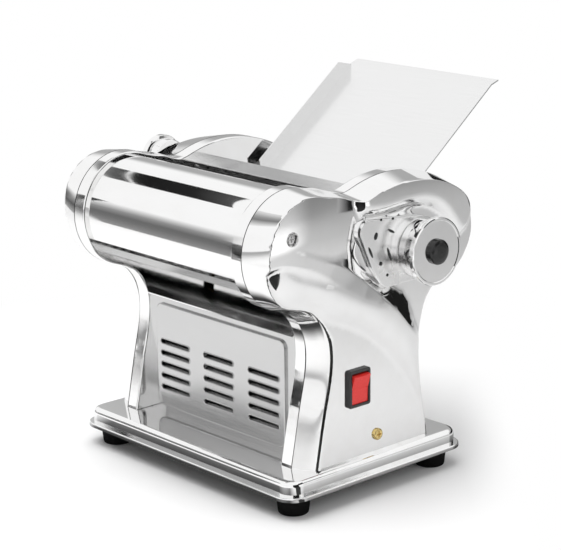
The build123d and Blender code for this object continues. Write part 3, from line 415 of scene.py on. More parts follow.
# %% Outline of the side
# It runs up the rear leg, round the rear lobe, over the saddle, round the front lobe and down.
REAR_FROM, REAR_TO = -80, 35  # degrees of the rear lobe's circle that the outline follows
FRONT_FROM, FRONT_TO = 72, 236
rear_leg = smooth_line([
    (78, FOOT_Z), (66.8, 130), on_circle(REAR_LOBE, REAR_LOBE_R, REAR_FROM)],
    (-0.13, 1), going(REAR_FROM))
rear_lobe = arc(REAR_LOBE, REAR_LOBE_R, REAR_FROM, REAR_TO - REAR_FROM)
saddle = smooth_line([
    on_circle(REAR_LOBE, REAR_LOBE_R, REAR_TO), (88, 263.2), (40, 272.5), (-4, 265.3), (-19.5, 261.8),
    (-34, 266.2), on_circle(FRONT_LOBE, FRONT_LOBE_R, FRONT_FROM)],
    going(REAR_TO), going(FRONT_FROM))
front_lobe = arc(FRONT_LOBE, FRONT_LOBE_R, FRONT_FROM, FRONT_TO - FRONT_FROM)
front_leg = smooth_line([
    on_circle(FRONT_LOBE, FRONT_LOBE_R, FRONT_TO), (-76, 167.5), (-60.8, 142), (-66, 90), (-77, FOOT_Z)],
    going(FRONT_TO), (-0.2, -1))
SIDE = rear_leg + rear_lobe[1:] + saddle[1:] + front_lobe[1:] + front_leg[1:]
print("side outline points:", len(SIDE))

# %% Lean of the wall
# How steeply the wall climbs, in millimetres outwards for each millimetre inwards from the outline,
# and how round its upper edge is. Each row is (place on the outline, steepness, softness).
LEAN = [
    ((78, 34), 2.0, 5.0), ((70, 130), 2.0, 5.0), ((120, 190), 2.6, 2.0), ((127, 214), 3.4, 1.6),
    ((118, 243), 3.4, 1.6), ((88, 263), 5.0, 1.6), ((40, 272.5), 5.2, 1.6), ((-4, 265), 7.0, 1.6),
    ((-34, 266), 7.5, 1.6), ((-78, 275.5), 7.0, 1.6), ((-114, 261), 5.0, 1.6), ((-127, 240), 3.6, 1.6),
    ((-129.5, 224), 3.2, 2.0), ((-128, 210), 3.4, 7.0), ((-107, 181), 6.0, 7.0), ((-76, 167.5), 3.2, 6.0),
    ((-61, 142), 1.9, 8.5), ((-66, 90), 2.0, 8.5), ((-77, 34), 2.0, 8.5),
]

# %% Lines of the relief
# The belly ends below at the crease and above at the ridge's edge; both run down to the rear foot.
CREASE = smooth_line([
    (-78, 171), (-48, 160.3), (-13.5, 143.9), (9.5, 126.4), (27.1, 108), (42.7, 88.9), (56.2, 66.5),
    (64, 50),
], (0.95, -0.3), (0.4, -0.9))
RIDGE_EDGE = smooth_line([
    (-60, 215), (-41.4, 207.8), (-21.6, 195.2), (-1.3, 179.6), (19.5, 159.2), (39.1, 137.4), (52, 114),
    (58.7, 91.3), (61, 70), (60, 48),
], (0.9, -0.4), (-0.1, -1))
FLANK = [  # places along the ridge's edge, the run of the slope beyond it, and its height there
    ((-49, 211.5), 6.0, 3.6), ((-41, 208), 8.0, 4.2), ((-10, 187), 8.5, 4.5), ((5, 174), 11.5, 5.4),
    ((14, 165), 16.0, 6.6), ((22, 157), 19.0, 7.2), ((30, 147.5), 17.0, 7.2), ((39, 137), 12.5, 7.0),
    ((49, 121), 9.0, 7.0), ((58, 91), 7.0, 7.0), ((60, 50), 6.0, 7.0),
]
RIDGE_FALL = 0.13  # how fast the ridge's top drops towards its edge
FALL_LINE = (0.8, -0.55)  # the way the ridge runs, along which its edge gains height
DOME_EDGE = smooth_line([
    (-135, 223.6), (-120.8, 222.8), (-102, 220.5), (-80, 216),
], (1, -0.03), (0.97, -0.2))
CRESCENT_END = smooth_line([
    (70, 264), (92.5, 254.6), (101.7, 249.4), (108.3, 240.8), (110.8, 230.2), (107.9, 221.7),
    (97, 215.3), (84, 211),
], (0.9, -0.4), (-0.95, -0.3))
CRESCENT_UNDER = smooth_line([
    (-24, 262), (-20, 247), (-8, 242.4), (20, 241.8), (50, 243), (71, 236.5), (86, 222), (98, 209),
    (128, 211),
], (0.1, -1), (0.95, 0.3))
BEYOND = 200  # millimetres by which a line is drawn out straight past its ends
TINY = 1e-12  # stands for the length of a stretch that has none
DIP = 0.05  # how fast a swell falls away before its foot


def beside(points, line):
    """Signed distance to an open line, positive on its left, and the nearest place's share of it."""
    line = np.array(line, float)
    ends = line.copy()
    ends[0] += (line[0] - line[1]) / np.hypot(*(line[0] - line[1])) * BEYOND
    ends[-1] += (line[-1] - line[-2]) / np.hypot(*(line[-1] - line[-2])) * BEYOND
    a, b = ends[:-1], ends[1:]
    along = b - a
    lengths = np.maximum((along ** 2).sum(1), TINY)
    best = np.full(len(points), np.inf)
    sign = np.ones(len(points))
    share = np.zeros(len(points))
    for i in range(len(a)):
        gap = points - a[i]
        t = np.clip(gap @ along[i] / lengths[i], 0, 1)
        off = gap - t[:, None] * along[i]
        distance = np.hypot(off[:, 0], off[:, 1])
        nearer = distance < best
        best[nearer] = distance[nearer]
        cross = along[i][0] * gap[:, 1] - along[i][1] * gap[:, 0]
        sign[nearer] = np.where(cross[nearer] >= 0, 1.0, -1.0)
        share[nearer] = (i + t[nearer]) / len(a)
    return best * sign, share


def table(rows, line, column):
    """Values given at places near a line, as shares of that line, ready for interpolation."""
    shares = beside(np.array([row[0] for row in rows], float), line)[1]
    order = np.argsort(shares)
    return shares[order], np.array([row[column] for row in rows])[order]


def edge_heights():
    """Distances along the fall line, and the heights of the ridge's edge there."""
    places = [y * FALL_LINE[0] + z * FALL_LINE[1] for (y, z), _, _ in FLANK]
    return places, [height for _, _, height in FLANK]


def soft_min(a, b, softness):
    """The smaller of two heights, with a round where they cross that is as wide as the softness."""
    return np.minimum(a, b) - np.maximum(softness - np.abs(a - b), 0) ** 2 / (4 * softness)


def soft_max(a, b, softness):
    """The larger of two heights, with the same kind of round."""
    return -soft_min(-a, -b, softness)


def swell(distance, run):
    """Rises from 0 to 1 over the run, steepest at its foot, and dips a little before it."""
    return np.sin(np.clip(distance / run, 0, 1) * math.pi / 2) + np.minimum(distance, 0) * DIP


# %% Belly with its ridge
CREASE_RUN = 28  # millimetres over which the belly swells up from the crease
HEM, HEM_RUN = 7, 30  # flat hem along the outline, and the belly's swell behind it
HEM_SOFT, RIDGE_SOFT, CREST_SOFT = 3.0, 0.8, 0.5


def belly_height(points, from_edge):
    """Height over the face of the belly and of the ridge that closes it above."""
    ridge, along = beside(points, RIDGE_EDGE)
    run = np.interp(along, *table(FLANK, RIDGE_EDGE, 1))
    top = np.interp(points[:, 0] * FALL_LINE[0] + points[:, 1] * FALL_LINE[1], *edge_heights())
    crest = soft_min(top - RIDGE_FALL * ridge, top * (1 - ridge / run), CREST_SOFT)
    belly = RELIEF * swell(beside(points, CREASE)[0], CREASE_RUN)
    belly = soft_min(belly, RELIEF * swell(from_edge - HEM, HEM_RUN), HEM_SOFT)
    return soft_min(belly, crest, RIDGE_SOFT)


# %% Dome over the front lobe
DOME_TOP, DOME_PLACE, DOME_RADIUS = 8.3, (-84, 238), 256  # height, place and bend of the bulge
DOME_DROP = 0.7  # how steeply the dome falls past its lower edge
FADE_FROM, FADE = -110, 0.08  # from this y on the edge fades out, at this rate
DOME_SOFT = 1.0


def dome_height(points):
    """Height over the face of the shallow dome, with its crisp lower edge at the front."""
    y, z = points[:, 0], points[:, 1]
    bulge = DOME_TOP - ((y - DOME_PLACE[0]) ** 2 + (z - DOME_PLACE[1]) ** 2) / (2 * DOME_RADIUS)
    past_edge = RELIEF + DOME_DROP * beside(points, DOME_EDGE)[0]
    return soft_min(bulge, past_edge + np.maximum(y - FADE_FROM, 0) * FADE, DOME_SOFT)


# %% Crescent over the knob
UNDER_RUN = 13  # millimetres over which the crescent swells up from its lower line
CURVE_Z, CURVE_RADIUS = 240, 350  # height from which it curves back, and the bend of that curve
END_DROP = 0.8  # how steeply it falls past its rear end
CRESCENT_SOFT, END_SOFT = 2.0, 0.8


def crescent_height(points):
    """Height over the face of the crescent."""
    z = points[:, 1]
    rise = RELIEF * swell(beside(points, CRESCENT_UNDER)[0], UNDER_RUN)
    curved_back = RELIEF - (z - CURVE_Z) ** 2 / (2 * CURVE_RADIUS) * (z > CURVE_Z)
    crescent = soft_min(rise, curved_back, CRESCENT_SOFT)
    return soft_min(crescent, RELIEF - END_DROP * beside(points, CRESCENT_END)[0], END_SOFT)


# %% How far out the steel stands
JOIN_Y, JOIN_SOFT = (-112, -85), (1.0, 7.0)  # belly and dome join crisply in front, softly behind
MEETING_SOFT, FACE_SOFT = 2.0, 1.2
SEAT_X, SEAT_R, SEAT_ROUND = 134.5, 6.0, 0.4  # seat of the upper screw, sunk into the dome
SEAT_SLOPE, SEAT_SOFT = 12, 0.5


def steel_x(points):
    """Distance from the machine's middle to the outer skin, for each (y, z) of the plan."""
    y, z = points[:, 0], points[:, 1]
    from_edge, share = beside(points, SIDE)
    wall = SEAM_X + np.interp(share, *table(LEAN, SIDE, 1)) * from_edge
    wall_soft = np.interp(share, *table(LEAN, SIDE, 2))
    join_soft = np.interp(y, JOIN_Y, JOIN_SOFT)
    joined = soft_max(belly_height(points, from_edge), dome_height(points), join_soft)
    raised = soft_max(joined, crescent_height(points), MEETING_SOFT)
    face = FACE_X + soft_max(raised, np.zeros(len(y)), FACE_SOFT)
    skin = soft_min(face, wall, wall_soft)
    from_screw = np.hypot(y - DOME_SCREW[0], z - DOME_SCREW[1])
    seat = SEAT_X + np.maximum(from_screw - SEAT_R + SEAT_ROUND, 0) * SEAT_SLOPE
    return soft_min(skin, seat, SEAT_SOFT)


# %% [markdown]
# ### From the rule to a mesh
# A grid would cut the crisp lines into steps, so the mesh is a Delaunay net over the plan instead.
# Its points lie in rings along the outline and beside each crisp line, where the skin turns
# quickly, and in a honeycomb elsewhere. Holes are loops of edges that the net has to keep.

# %% Points of the plan
# Rings lie at these distances from the outline, beside each line, and round the screw's axis.
WALL_RINGS = (0.5, 1.0, 1.5, 2.0, 2.5, 3.0, 3.6, 4.2, 4.9, 5.6, 6.4, 7.2, 8.1, 9.1, 10.4, 12.0)
LINE_RINGS = (-1.6, -1.0, -0.5, 0.0, 0.5, 1.0, 1.6)
SEAT_RINGS = (4.4, 5.2, 5.5, 5.7, 5.9, 6.2, 6.7, 7.6)
SEAT_POINTS = 40  # points on each ring round the upper screw
HONEYCOMB = 2.6
ROW_SHARE = 0.87  # distance of two rows of the honeycomb, as a share of its spacing
FIELD_HALF, FIELD_HEIGHT = 130, 245  # the plan's half length and its height over the foot
LINE_CLEAR, SEAT_CLEAR, FIELD_CLEAR = 0.42, 0.15, 1.3  # room that a point keeps from those before it
EDGE_CLEAR, FOOT_CLEAR = 0.3, 0.4  # room between free points and the outline, and the foot line
FOOT_POINTS = np.arange(-75.0, 77.0, 2.0)  # y of the outline's points on the foot line
CELL = 1.0  # near points are looked for in cells of this size
WHOLE_NET, SAME_PLACE = 0, 0.0001  # the kind of net to make, and how near two points count as one


def shifted(line, distance):
    """The points of a line moved sideways, to its left for a positive distance."""
    p = np.array(line)
    ahead = np.gradient(p, axis=0)
    ahead /= np.hypot(ahead[:, 0], ahead[:, 1])[:, None]
    return p + distance * np.stack([-ahead[:, 1], ahead[:, 0]], axis=1)


def flank_foot():
    """Where the slope beyond the ridge meets the face."""
    edge = np.array(RIDGE_EDGE)
    runs = np.interp(beside(edge, RIDGE_EDGE)[1], *table(FLANK, RIDGE_EDGE, 1))[:, None]
    return [tuple(place) for place in shifted(RIDGE_EDGE, 1.0) * runs + edge * (1 - runs)]


def honeycomb():
    """Points in rows, each row half a step aside of the last."""
    places = []
    for row in range(int(FIELD_HEIGHT / (HONEYCOMB * ROW_SHARE))):
        z = FOOT_Z + 1 + row * HONEYCOMB * ROW_SHARE
        aside = row % 2 * HONEYCOMB / 2
        places += [(y + aside, z) for y in np.arange(-FIELD_HALF, FIELD_HALF, HONEYCOMB)]
    return places


def thinned(candidates, fixed):
    """Keeps the candidates, in order, that stand clear of the points kept before."""
    taken = {}
    kept = []

    def room(place, clear):
        column, row = int(place[0] // CELL), int(place[1] // CELL)
        reach = int(clear // CELL) + 1
        for i in range(column - reach, column + reach + 1):
            for j in range(row - reach, row + reach + 1):
                if any(math.dist(place, other) < clear for other in taken.get((i, j), ())):
                    return False
        return True

    for place, clear in [(p, 0.0) for p in fixed] + candidates:
        if clear and not room(place, clear):
            continue
        taken.setdefault((int(place[0] // CELL), int(place[1] // CELL)), []).append(place)
        if clear:
            kept.append(place)
    return kept


def loop_round(centre, radius, count):
    """A closed ring of points."""
    return [on_circle(centre, radius, 360 * k / count) for k in range(count)]


def box_loop(centre, half):
    """The four corners of an upright opening."""
    corners = [(-1, -1), (1, -1), (1, 1), (-1, 1)]
    return [(centre[0] + i * half[0], centre[1] + j * half[1]) for i, j in corners]


KNOB_HOLE_R, GUARD_HOLE_R, SCREW_HOLE_R = 9.0, 4.0, 2.75
HOLES = {  # loop of points, and the sides that have the hole
    "knob bush": (loop_round(KNOB_AXIS, KNOB_HOLE_R, 36), (RIGHT,)),
    "switch": (box_loop(SWITCH, SWITCH_HALF), (RIGHT,)),
    "guard shaft": (loop_round(GUARD_AXIS, GUARD_HOLE_R, 20), (LEFT,)),
    "upper screw": (loop_round(DOME_SCREW, SCREW_HOLE_R, 20), (RIGHT, LEFT)),
    "lower screw": (loop_round(LOW_SCREW, SCREW_HOLE_R, 20), (RIGHT, LEFT)),
}


def free_points():
    """Places for points that no loop fixes, the important ones first, each with the room it keeps."""
    rough = []
    for line in (RIDGE_EDGE, flank_foot(), CREASE, DOME_EDGE, CRESCENT_END):
        for ring in LINE_RINGS:
            rough += [(tuple(place), LINE_CLEAR) for place in shifted(line, ring)]
    for ring in SEAT_RINGS:
        rough += [(place, SEAT_CLEAR) for place in loop_round(DOME_SCREW, ring, SEAT_POINTS)]
    for ring in WALL_RINGS:
        rough += [(tuple(place), LINE_CLEAR) for place in shifted(SIDE, ring)]
    rough += [(place, FIELD_CLEAR) for place in honeycomb()]
    places = np.array([place for place, _ in rough])
    inside = (beside(places, SIDE)[0] > EDGE_CLEAR) & (places[:, 1] > FOOT_Z + FOOT_CLEAR)
    return [row for row, good in zip(rough, inside) if good]


def plan_net():
    """All plan points and triangles of one side, holes still filled, and the triangles' middles."""
    outline = SIDE + [(y, FOOT_Z) for y in FOOT_POINTS]
    loops = [outline] + [loop for loop, _ in HOLES.values()]
    fixed = [place for loop in loops for place in loop]
    points = fixed + thinned(free_points(), fixed)
    edges, start = [], 0
    for loop in loops:
        edges += [(start + k, start + (k + 1) % len(loop)) for k in range(len(loop))]
        start += len(loop)
    net = delaunay_2d_cdt([Vector(place) for place in points], edges, [], WHOLE_NET, SAME_PLACE)
    points = np.array([tuple(place) for place in net[0]])
    triangles = np.array([tuple(face) for face in net[2]])
    middles = points[triangles].mean(axis=1)
    keep = (beside(middles, SIDE)[0] > 0) & (middles[:, 1] > FOOT_Z)
    return points, triangles[keep], middles[keep]


PLAN, TRIANGLES, MIDDLES = plan_net()
print("plan points:", len(PLAN), "triangles:", len(TRIANGLES))

# %% Skin and normals of the plan
PROBE = 0.12  # millimetres to each side at which the slope is measured


def slope(axis):
    """How fast the skin climbs along one axis of the plan, at each point."""
    step = np.zeros(2)
    step[axis] = PROBE
    return (steel_x(PLAN + step) - steel_x(PLAN - step)) / (2 * PROBE)


HEIGHT = steel_x(PLAN)
NORMAL = np.stack([np.ones(len(PLAN)), -slope(0), -slope(1)], axis=1)
NORMAL /= np.linalg.norm(NORMAL, axis=1)[:, None]
print("skin stands from", round(HEIGHT.min(), 2), "to", round(HEIGHT.max(), 2))

# %% Shells
SKIN_THICKNESS = 1.5


def in_hole(side):
    """Which triangles of the plan fall into a hole of that side."""
    gone = np.zeros(len(MIDDLES), bool)
    for loop, sides in HOLES.values():
        if side in sides:
            loop = np.array(loop)
            centre = loop.mean(axis=0)
            reach = np.abs(loop - centre).max(axis=0)
            off = np.abs(MIDDLES - centre)
            four_cornered = len(loop) == 4
            if four_cornered:
                gone |= (off < reach).all(axis=1)
            else:
                gone |= np.hypot(*off.T) < reach[0]
    return gone


def open_edges(triangles):
    """The edges that only one triangle has, each in that triangle's direction."""
    edges = {}
    for a, b, c in triangles:
        for edge in ((a, b), (b, c), (c, a)):
            if edge[::-1] in edges:
                del edges[edge[::-1]]
            else:
                edges[edge] = True
    return list(edges)


def set_normals(mesh, normal_of):
    """Smooth faces take the given normal of each vertex; the rim's faces keep their own."""
    normals = []
    for polygon in mesh.polygons:
        if polygon.use_smooth:
            normals += [tuple(normal_of[vertex]) for vertex in polygon.vertices]
        else:
            normals += [tuple(polygon.normal)] * len(polygon.vertices)
    mesh.normals_split_custom_set(normals)


def shell(name, side):
    """A housing with wall thickness; its normals follow the rule, not the triangles."""
    used, where = np.unique(TRIANGLES[~in_hole(side)], return_inverse=True)
    triangles = where.reshape(-1, 3)
    outer = np.column_stack([HEIGHT[used], PLAN[used]])
    inner = outer - SKIN_THICKNESS * NORMAL[used]
    inner[:, 0] = np.maximum(inner[:, 0], SEAM_X)
    inner[:, 2] = np.maximum(inner[:, 2], FOOT_Z)
    places = np.concatenate([outer, inner]) * (side, 1, 1)
    if side == LEFT:
        triangles = triangles[:, [0, 2, 1]]
    count = len(used)
    rim = [(b, a, a + count, b + count) for a, b in open_edges(triangles.tolist())]
    faces = triangles.tolist() + (triangles[:, ::-1] + count).tolist() + rim
    mesh = bpy.data.meshes.new(name)
    mesh.from_pydata([at(*place) for place in places], [], faces)
    mesh.update()
    mesh.polygons.foreach_set("use_smooth", [True] * (2 * len(triangles)) + [False] * len(rim))
    normal = NORMAL[used] * (side, 1, 1)
    set_normals(mesh, np.concatenate([normal, -normal]))
    return mesh


# %% Pieces that take a node's place
def plain_object(name, mesh):
    """An object at the origin with the given mesh, curve or lamp."""
    made = bpy.data.objects.new(name, mesh)
    bpy.context.scene.collection.objects.link(made)
    return made


def stand_in(name, mesh, node):
    """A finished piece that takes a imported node's place, body and finish."""
    piece = plain_object(name, mesh)
    piece.data.materials.append(FINISHES[slot_of[node]])
    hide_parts(node)
    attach(piece, body_of[node])
    print(name, "faces:", len(mesh.polygons))


stand_in("right_side_shell", shell("right_side_shell", RIGHT), "right_housing")
stand_in("left_side_shell", shell("left_side_shell", LEFT), "left_housing")

# %% [markdown]
# ## Dial behind the knob
# The dial is a stamped tear-drop with softly rounded edges: the hull of a few circles, drawn as a
# flat curve whose bevel gives the rounding. Its settings are marked with small dark pads. Each pad
# is the same pill, placed on a point that carries its own size and turn, so a Geometry Nodes tree
# makes them all.


# %% Flat plates from curves
WELD = 0.00001  # metres within which two points of a plate are made one


def turns_left(a, b, c):
    """Whether the way from a over b to c bends to the left."""
    return (b[0] - a[0]) * (c[1] - a[1]) - (b[1] - a[1]) * (c[0] - a[0]) > 0


def hull(points):
    """The convex outline round a set of points, counter-clockwise."""
    ordered = sorted(set(points))
    outline = []
    for half in (ordered, ordered[::-1]):
        line = []
        for place in half:
            while len(line) > 1 and not turns_left(line[-2], line[-1], place):
                line.pop()
            line.append(place)
        outline += line[:-1]
    return outline


def side_plate(name, loops, back, face, edge):
    """A plate in the side's plane from its loops of (y, z), with rounded edges.

    It reaches from back to face, two distances from the machine's middle.
    """
    curve = bpy.data.curves.new(name, "CURVE")
    curve.dimensions = "2D"
    curve.fill_mode = "BOTH"
    curve.extrude = (face - back) / 2 - edge
    curve.bevel_depth = edge
    curve.bevel_resolution = 3
    curve.offset = -edge
    for loop in loops:
        spline = curve.splines.new("POLY")
        spline.points.add(len(loop) - 1)
        for point, (y, z) in zip(spline.points, loop):
            point.co = (y, z, 0, 1)
        spline.use_cyclic_u = True
    drawn = plain_object(name, curve)
    mesh = bpy.data.meshes.new_from_object(drawn.evaluated_get(bpy.context.evaluated_depsgraph_get()))
    bpy.data.objects.remove(drawn)
    middle = (face + back) / 2
    for vertex in mesh.vertices:
        y, z, x = vertex.co
        vertex.co = at(x + middle, y, z)
    merge = bmesh.new()
    merge.from_mesh(mesh)
    bmesh.ops.remove_doubles(merge, verts=merge.verts, dist=WELD)
    bmesh.ops.recalc_face_normals(merge, faces=merge.faces)
    merge.to_mesh(mesh)
    merge.free()
    return mesh


# %% Dial
DIAL_X, DIAL_EDGE = 135.0, 0.8  # its face, and the round of its edges
DIAL_HOLE_R = 9.5
DIAL_ROUNDS = [(KNOB_AXIS, 27.5), ((14, 190), 10.5), ((3, 205), 10.5), ((-9, 231), 10.0)]
round_points = [place for centre, radius in DIAL_ROUNDS for place in loop_round(centre, radius, 72)]
dial_loops = [hull(round_points), loop_round(KNOB_AXIS, DIAL_HOLE_R, 40)]
dial_mesh = side_plate("marked_dial", dial_loops, FACE_X, DIAL_X, DIAL_EDGE)
stand_in("marked_dial", dial_mesh, "thickness_dial")


# %% [markdown]
# The helper below runs a Geometry Nodes tree on a start mesh and keeps the result as a plain mesh:
# the tree's inputs are set by their identifiers before anything is evaluated, and the modifier goes
# away with the start object.


# %% Tree helpers
def new_tree(name, inputs):
    """A Geometry Nodes tree with a start mesh, named inputs (name, kind, default) and one output."""
    tree = bpy.data.node_groups.new(name, "GeometryNodeTree")
    tree.interface.new_socket("Start", in_out="INPUT", socket_type="NodeSocketGeometry")
    for label, kind, default in inputs:
        socket = tree.interface.new_socket(label, in_out="INPUT", socket_type="NodeSocket" + kind)
        if default is not None:
            socket.default_value = default
    tree.interface.new_socket("Result", in_out="OUTPUT", socket_type="NodeSocketGeometry")
    return tree, add(tree, "NodeGroupInput").outputs


def close_tree(tree, geometry, finish):
    """Realize Instances, smooth shading and Set Material end every tree."""
    real = add(tree, "GeometryNodeRealizeInstances", {"Geometry": geometry}).outputs[0]
    smooth = add(tree, "GeometryNodeSetShadeSmooth", {"Geometry": real}).outputs[0]
    painted = add(tree, "GeometryNodeSetMaterial", {"Geometry": smooth, "Material": finish}).outputs[0]
    add(tree, "NodeGroupOutput", {"Result": painted})


def grown(name, tree, start, values):
    """The plain mesh that a tree makes from a start mesh with the given input values."""
    seed = plain_object(name + "_start", start)
    modifier = seed.modifiers.new(name, "NODES")
    modifier.node_group = tree
    for item in tree.interface.items_tree:
        if item.item_type == "SOCKET" and item.in_out == "INPUT" and item.name in values:
            modifier[item.identifier] = values[item.name]
    seed.update_tag()
    mesh = bpy.data.meshes.new_from_object(seed.evaluated_get(bpy.context.evaluated_depsgraph_get()))
    mesh.name = name
    bpy.data.objects.remove(seed)
    print(name, "faces:", len(mesh.polygons))
    return mesh


# %% Pads that mark the dial's settings
PAD_HEIGHT = 0.35  # over the dial; as much again is sunk into it
PADS = [  # place (y, z), width and length in millimetres, turn in degrees
    ((4.7, 239.4), 2.2, 2.2, 0), ((18.6, 238.2), 2.6, 2.0, 20), ((-1.4, 226.4), 3.6, 6.4, -18),
    ((16.7, 227.8), 2.2, 8.5, 62), ((4.4, 201.8), 3.6, 3.6, 0), ((14.6, 208.0), 2.4, 13.0, 22),
    ((-7.5, 213.5), 2.2, 11.0, 26), ((12.4, 190.5), 2.6, 2.6, 0),
]
pad_tree, pad_in = new_tree("setting pads", [
    ("Height", "Float", 0.0004), ("Sides", "Int", 20), ("Finish", "Material", None)])
pill = add(pad_tree, "GeometryNodeMeshCylinder", {  # one unit wide, so that a point's size is its width
    "Vertices": pad_in["Sides"], "Radius": 0.5, "Depth": pad_in["Height"]})
flat_pill = add(pad_tree, "GeometryNodeTransform", {
    "Geometry": pill.outputs["Mesh"], "Rotation": (0, math.pi / 2, 0)})
pad_size, pad_turn = [
    add(pad_tree, "GeometryNodeInputNamedAttribute", {"Name": name}, data_type="FLOAT_VECTOR").outputs[0]
    for name in ("size", "turn")]
pad_turned = add(pad_tree, "FunctionNodeEulerToRotation", {0: pad_turn})
pads = add(pad_tree, "GeometryNodeInstanceOnPoints", {
    "Points": pad_in["Start"], "Instance": flat_pill.outputs[0], "Rotation": pad_turned.outputs[0],
    "Scale": pad_size})
close_tree(pad_tree, pads.outputs[0], pad_in["Finish"])

# %% Pads on the dial
PAD_SIDES = 20
pad_places = bpy.data.meshes.new("pad places")
pad_places.from_pydata([at(DIAL_X, *place) for place, _, _, _ in PADS], [], [])
sizes = pad_places.attributes.new("size", "FLOAT_VECTOR", "POINT")
turns = pad_places.attributes.new("turn", "FLOAT_VECTOR", "POINT")
for k, (_, width, length, degrees) in enumerate(PADS):
    sizes.data[k].vector = (1.0, width / 1000, length / 1000)
    turns.data[k].vector = (math.radians(degrees), 0, 0)
pad_mesh = grown("dial_pads", pad_tree, pad_places, {
    "Height": 2 * PAD_HEIGHT / 1000, "Sides": PAD_SIDES, "Finish": FINISHES["plug_black"]})
dial_pads = plain_object("dial_pads", pad_mesh)
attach(dial_pads, "root")

# %% [markdown]
# ## Louvre lips
# The press that cuts the fifteen louvres also rolls a fine lip round each. A lip is a round bar
# bent to the slot's outline; one Geometry Nodes tree makes it and repeats it over the grid.

# %% Tree of the louvre lips
lip_tree, lip_in = new_tree("louvre lips", [
    ("Across", "Float", 0.06), ("Down", "Float", 0.01), ("Length", "Float", 0.04),
    ("Height", "Float", 0.005), ("Lip", "Float", 0.0005), ("Columns", "Int", 3), ("Rows", "Int", 5),
    ("Place", "Vector", (0.0, 0.0, 0.0)), ("Finish", "Material", None)])


def grid_length(pitch, count):
    """The length of a row of points from their distance and their number."""
    gaps = math_node(lip_tree, "SUBTRACT", lip_in[count], 1.0)
    return math_node(lip_tree, "MULTIPLY", lip_in[pitch], gaps)


slot_line = add(lip_tree, "GeometryNodeCurvePrimitiveQuadrilateral", {
    "Width": lip_in["Length"], "Height": lip_in["Height"]})
half_height = math_node(lip_tree, "MULTIPLY", lip_in["Height"], 0.499)  # nearly full rounds at the ends
rounded = add(lip_tree, "GeometryNodeFilletCurve", {
    "Curve": slot_line.outputs[0], "Count": 7, "Radius": half_height}, mode="POLY")
lip_round = add(lip_tree, "GeometryNodeCurvePrimitiveCircle", {"Resolution": 8, "Radius": lip_in["Lip"]})
lip_bar = add(lip_tree, "GeometryNodeCurveToMesh", {
    "Curve": rounded.outputs[0], "Profile Curve": lip_round.outputs[0]})
lip_grid = add(lip_tree, "GeometryNodeMeshGrid", {
    "Size X": grid_length("Across", "Columns"), "Size Y": grid_length("Down", "Rows"),
    "Vertices X": lip_in["Columns"], "Vertices Y": lip_in["Rows"]})
lips = add(lip_tree, "GeometryNodeInstanceOnPoints", {
    "Points": lip_grid.outputs["Mesh"], "Instance": lip_bar.outputs[0]})
stood = add(lip_tree, "GeometryNodeTransform", {
    "Geometry": lips.outputs[0], "Rotation": (math.pi / 2, 0, 0), "Translation": lip_in["Place"]})
close_tree(lip_tree, stood.outputs[0], lip_in["Finish"])

# %% Louvre lips on the panel
SLOT_PITCH, ROW_PITCH, TOP_ROW = 59.5, 10.8, 101.7
SLOT_LENGTH, SLOT_HEIGHT, LIP = 40.0, 4.6, 0.55
PANEL_FIELD_Y = -61.0
LOUVRE_COLUMNS, LOUVRE_ROWS = 3, 5
MIDDLE_ROW = TOP_ROW - (LOUVRE_ROWS - 1) / 2 * ROW_PITCH
# the lips take the panel's darker copy of the sheet: painted shade
lip_mesh = grown("louvre_lips", lip_tree, bpy.data.meshes.new("nothing"), {
    "Across": SLOT_PITCH / 1000, "Down": ROW_PITCH / 1000, "Length": (SLOT_LENGTH + LIP) / 1000,
    "Height": (SLOT_HEIGHT + LIP) / 1000, "Lip": LIP / 1000, "Columns": LOUVRE_COLUMNS,
    "Rows": LOUVRE_ROWS, "Place": at(0, PANEL_FIELD_Y, MIDDLE_ROW), "Finish": SHADED_PANEL_SHEET})
louvre_lips = plain_object("louvre_lips", lip_mesh)
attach(louvre_lips, "root")

# %% [markdown]
# ## The studio
# The floor is a plain pale sheet. One large soft light hangs over the machine and a weaker one
# stands at the right. A mirror draws its edges with what stands around it, so mirror rays meet a
# floor and walls with slow changes of tone, and dark cards outside the picture, as in a real
# studio. The camera itself sees white round the floor's shadow, and the rays that only carry light
# meet an even pale room.


# %% Flat sheets
def flat_card(name, corners):
    """A flat sheet from its corner points."""
    mesh = bpy.data.meshes.new(name)
    mesh.from_pydata(corners, [], [tuple(range(len(corners)))])
    return plain_object(name, mesh)


def upright(name, start, end, low, high):
    """A standing sheet between two floor points."""
    return flat_card(name, [(*start, low), (*end, low), (*end, high), (*start, high)])


def lying(name, corners, z):
    """A level sheet at a height."""
    return flat_card(name, [(x, y, z) for x, y in corners])


def box_round(x_range, y_range):
    """The corners (x, y) of a box in the plane of the floor."""
    (x0, x1), (y0, y1) = x_range, y_range
    return [(x0, y0), (x1, y0), (x1, y1), (x0, y1)]


# %% [markdown]
# ### Floor
# The camera sees a pale floor that keeps the machine's shadow and turns pure white around it.
# Mirror rays see the same floor with painted shade next to the base, open beyond it, and painted darker
# towards the right, where a real studio ends. One painted bright stretch at the far right lights the dome's
# side.

# %% Floor seen by mirror rays
FLOOR_HALF = 30.0  # metres
FLOOR_LEVEL = 0.93
DIAGONAL = (0.7, 0.7, 0.0)
LIT_REACH = (-0.5, 0.9)  # metres along the diagonal over which the floor's painted light grows darker
LIT_TONES = [(0.0, 0.86), (0.45, 0.78), (0.75, 0.6), (1.0, 0.5)]
SHADE_REACH, SHADE_LEVEL = (0.025, 0.12), 0.06  # metres from the base over which the machine's painted shade lifts, and its darkest level
SHADE_ASIDE = 1.9  # how much sooner the shade ends beside the base than before it
DOME_Y = -0.115
BRIGHT_HEADING = (math.radians(46), math.radians(32))  # from the dome, where the painted bright stretch fades in
BRIGHT_X = (0.74, 0.84)

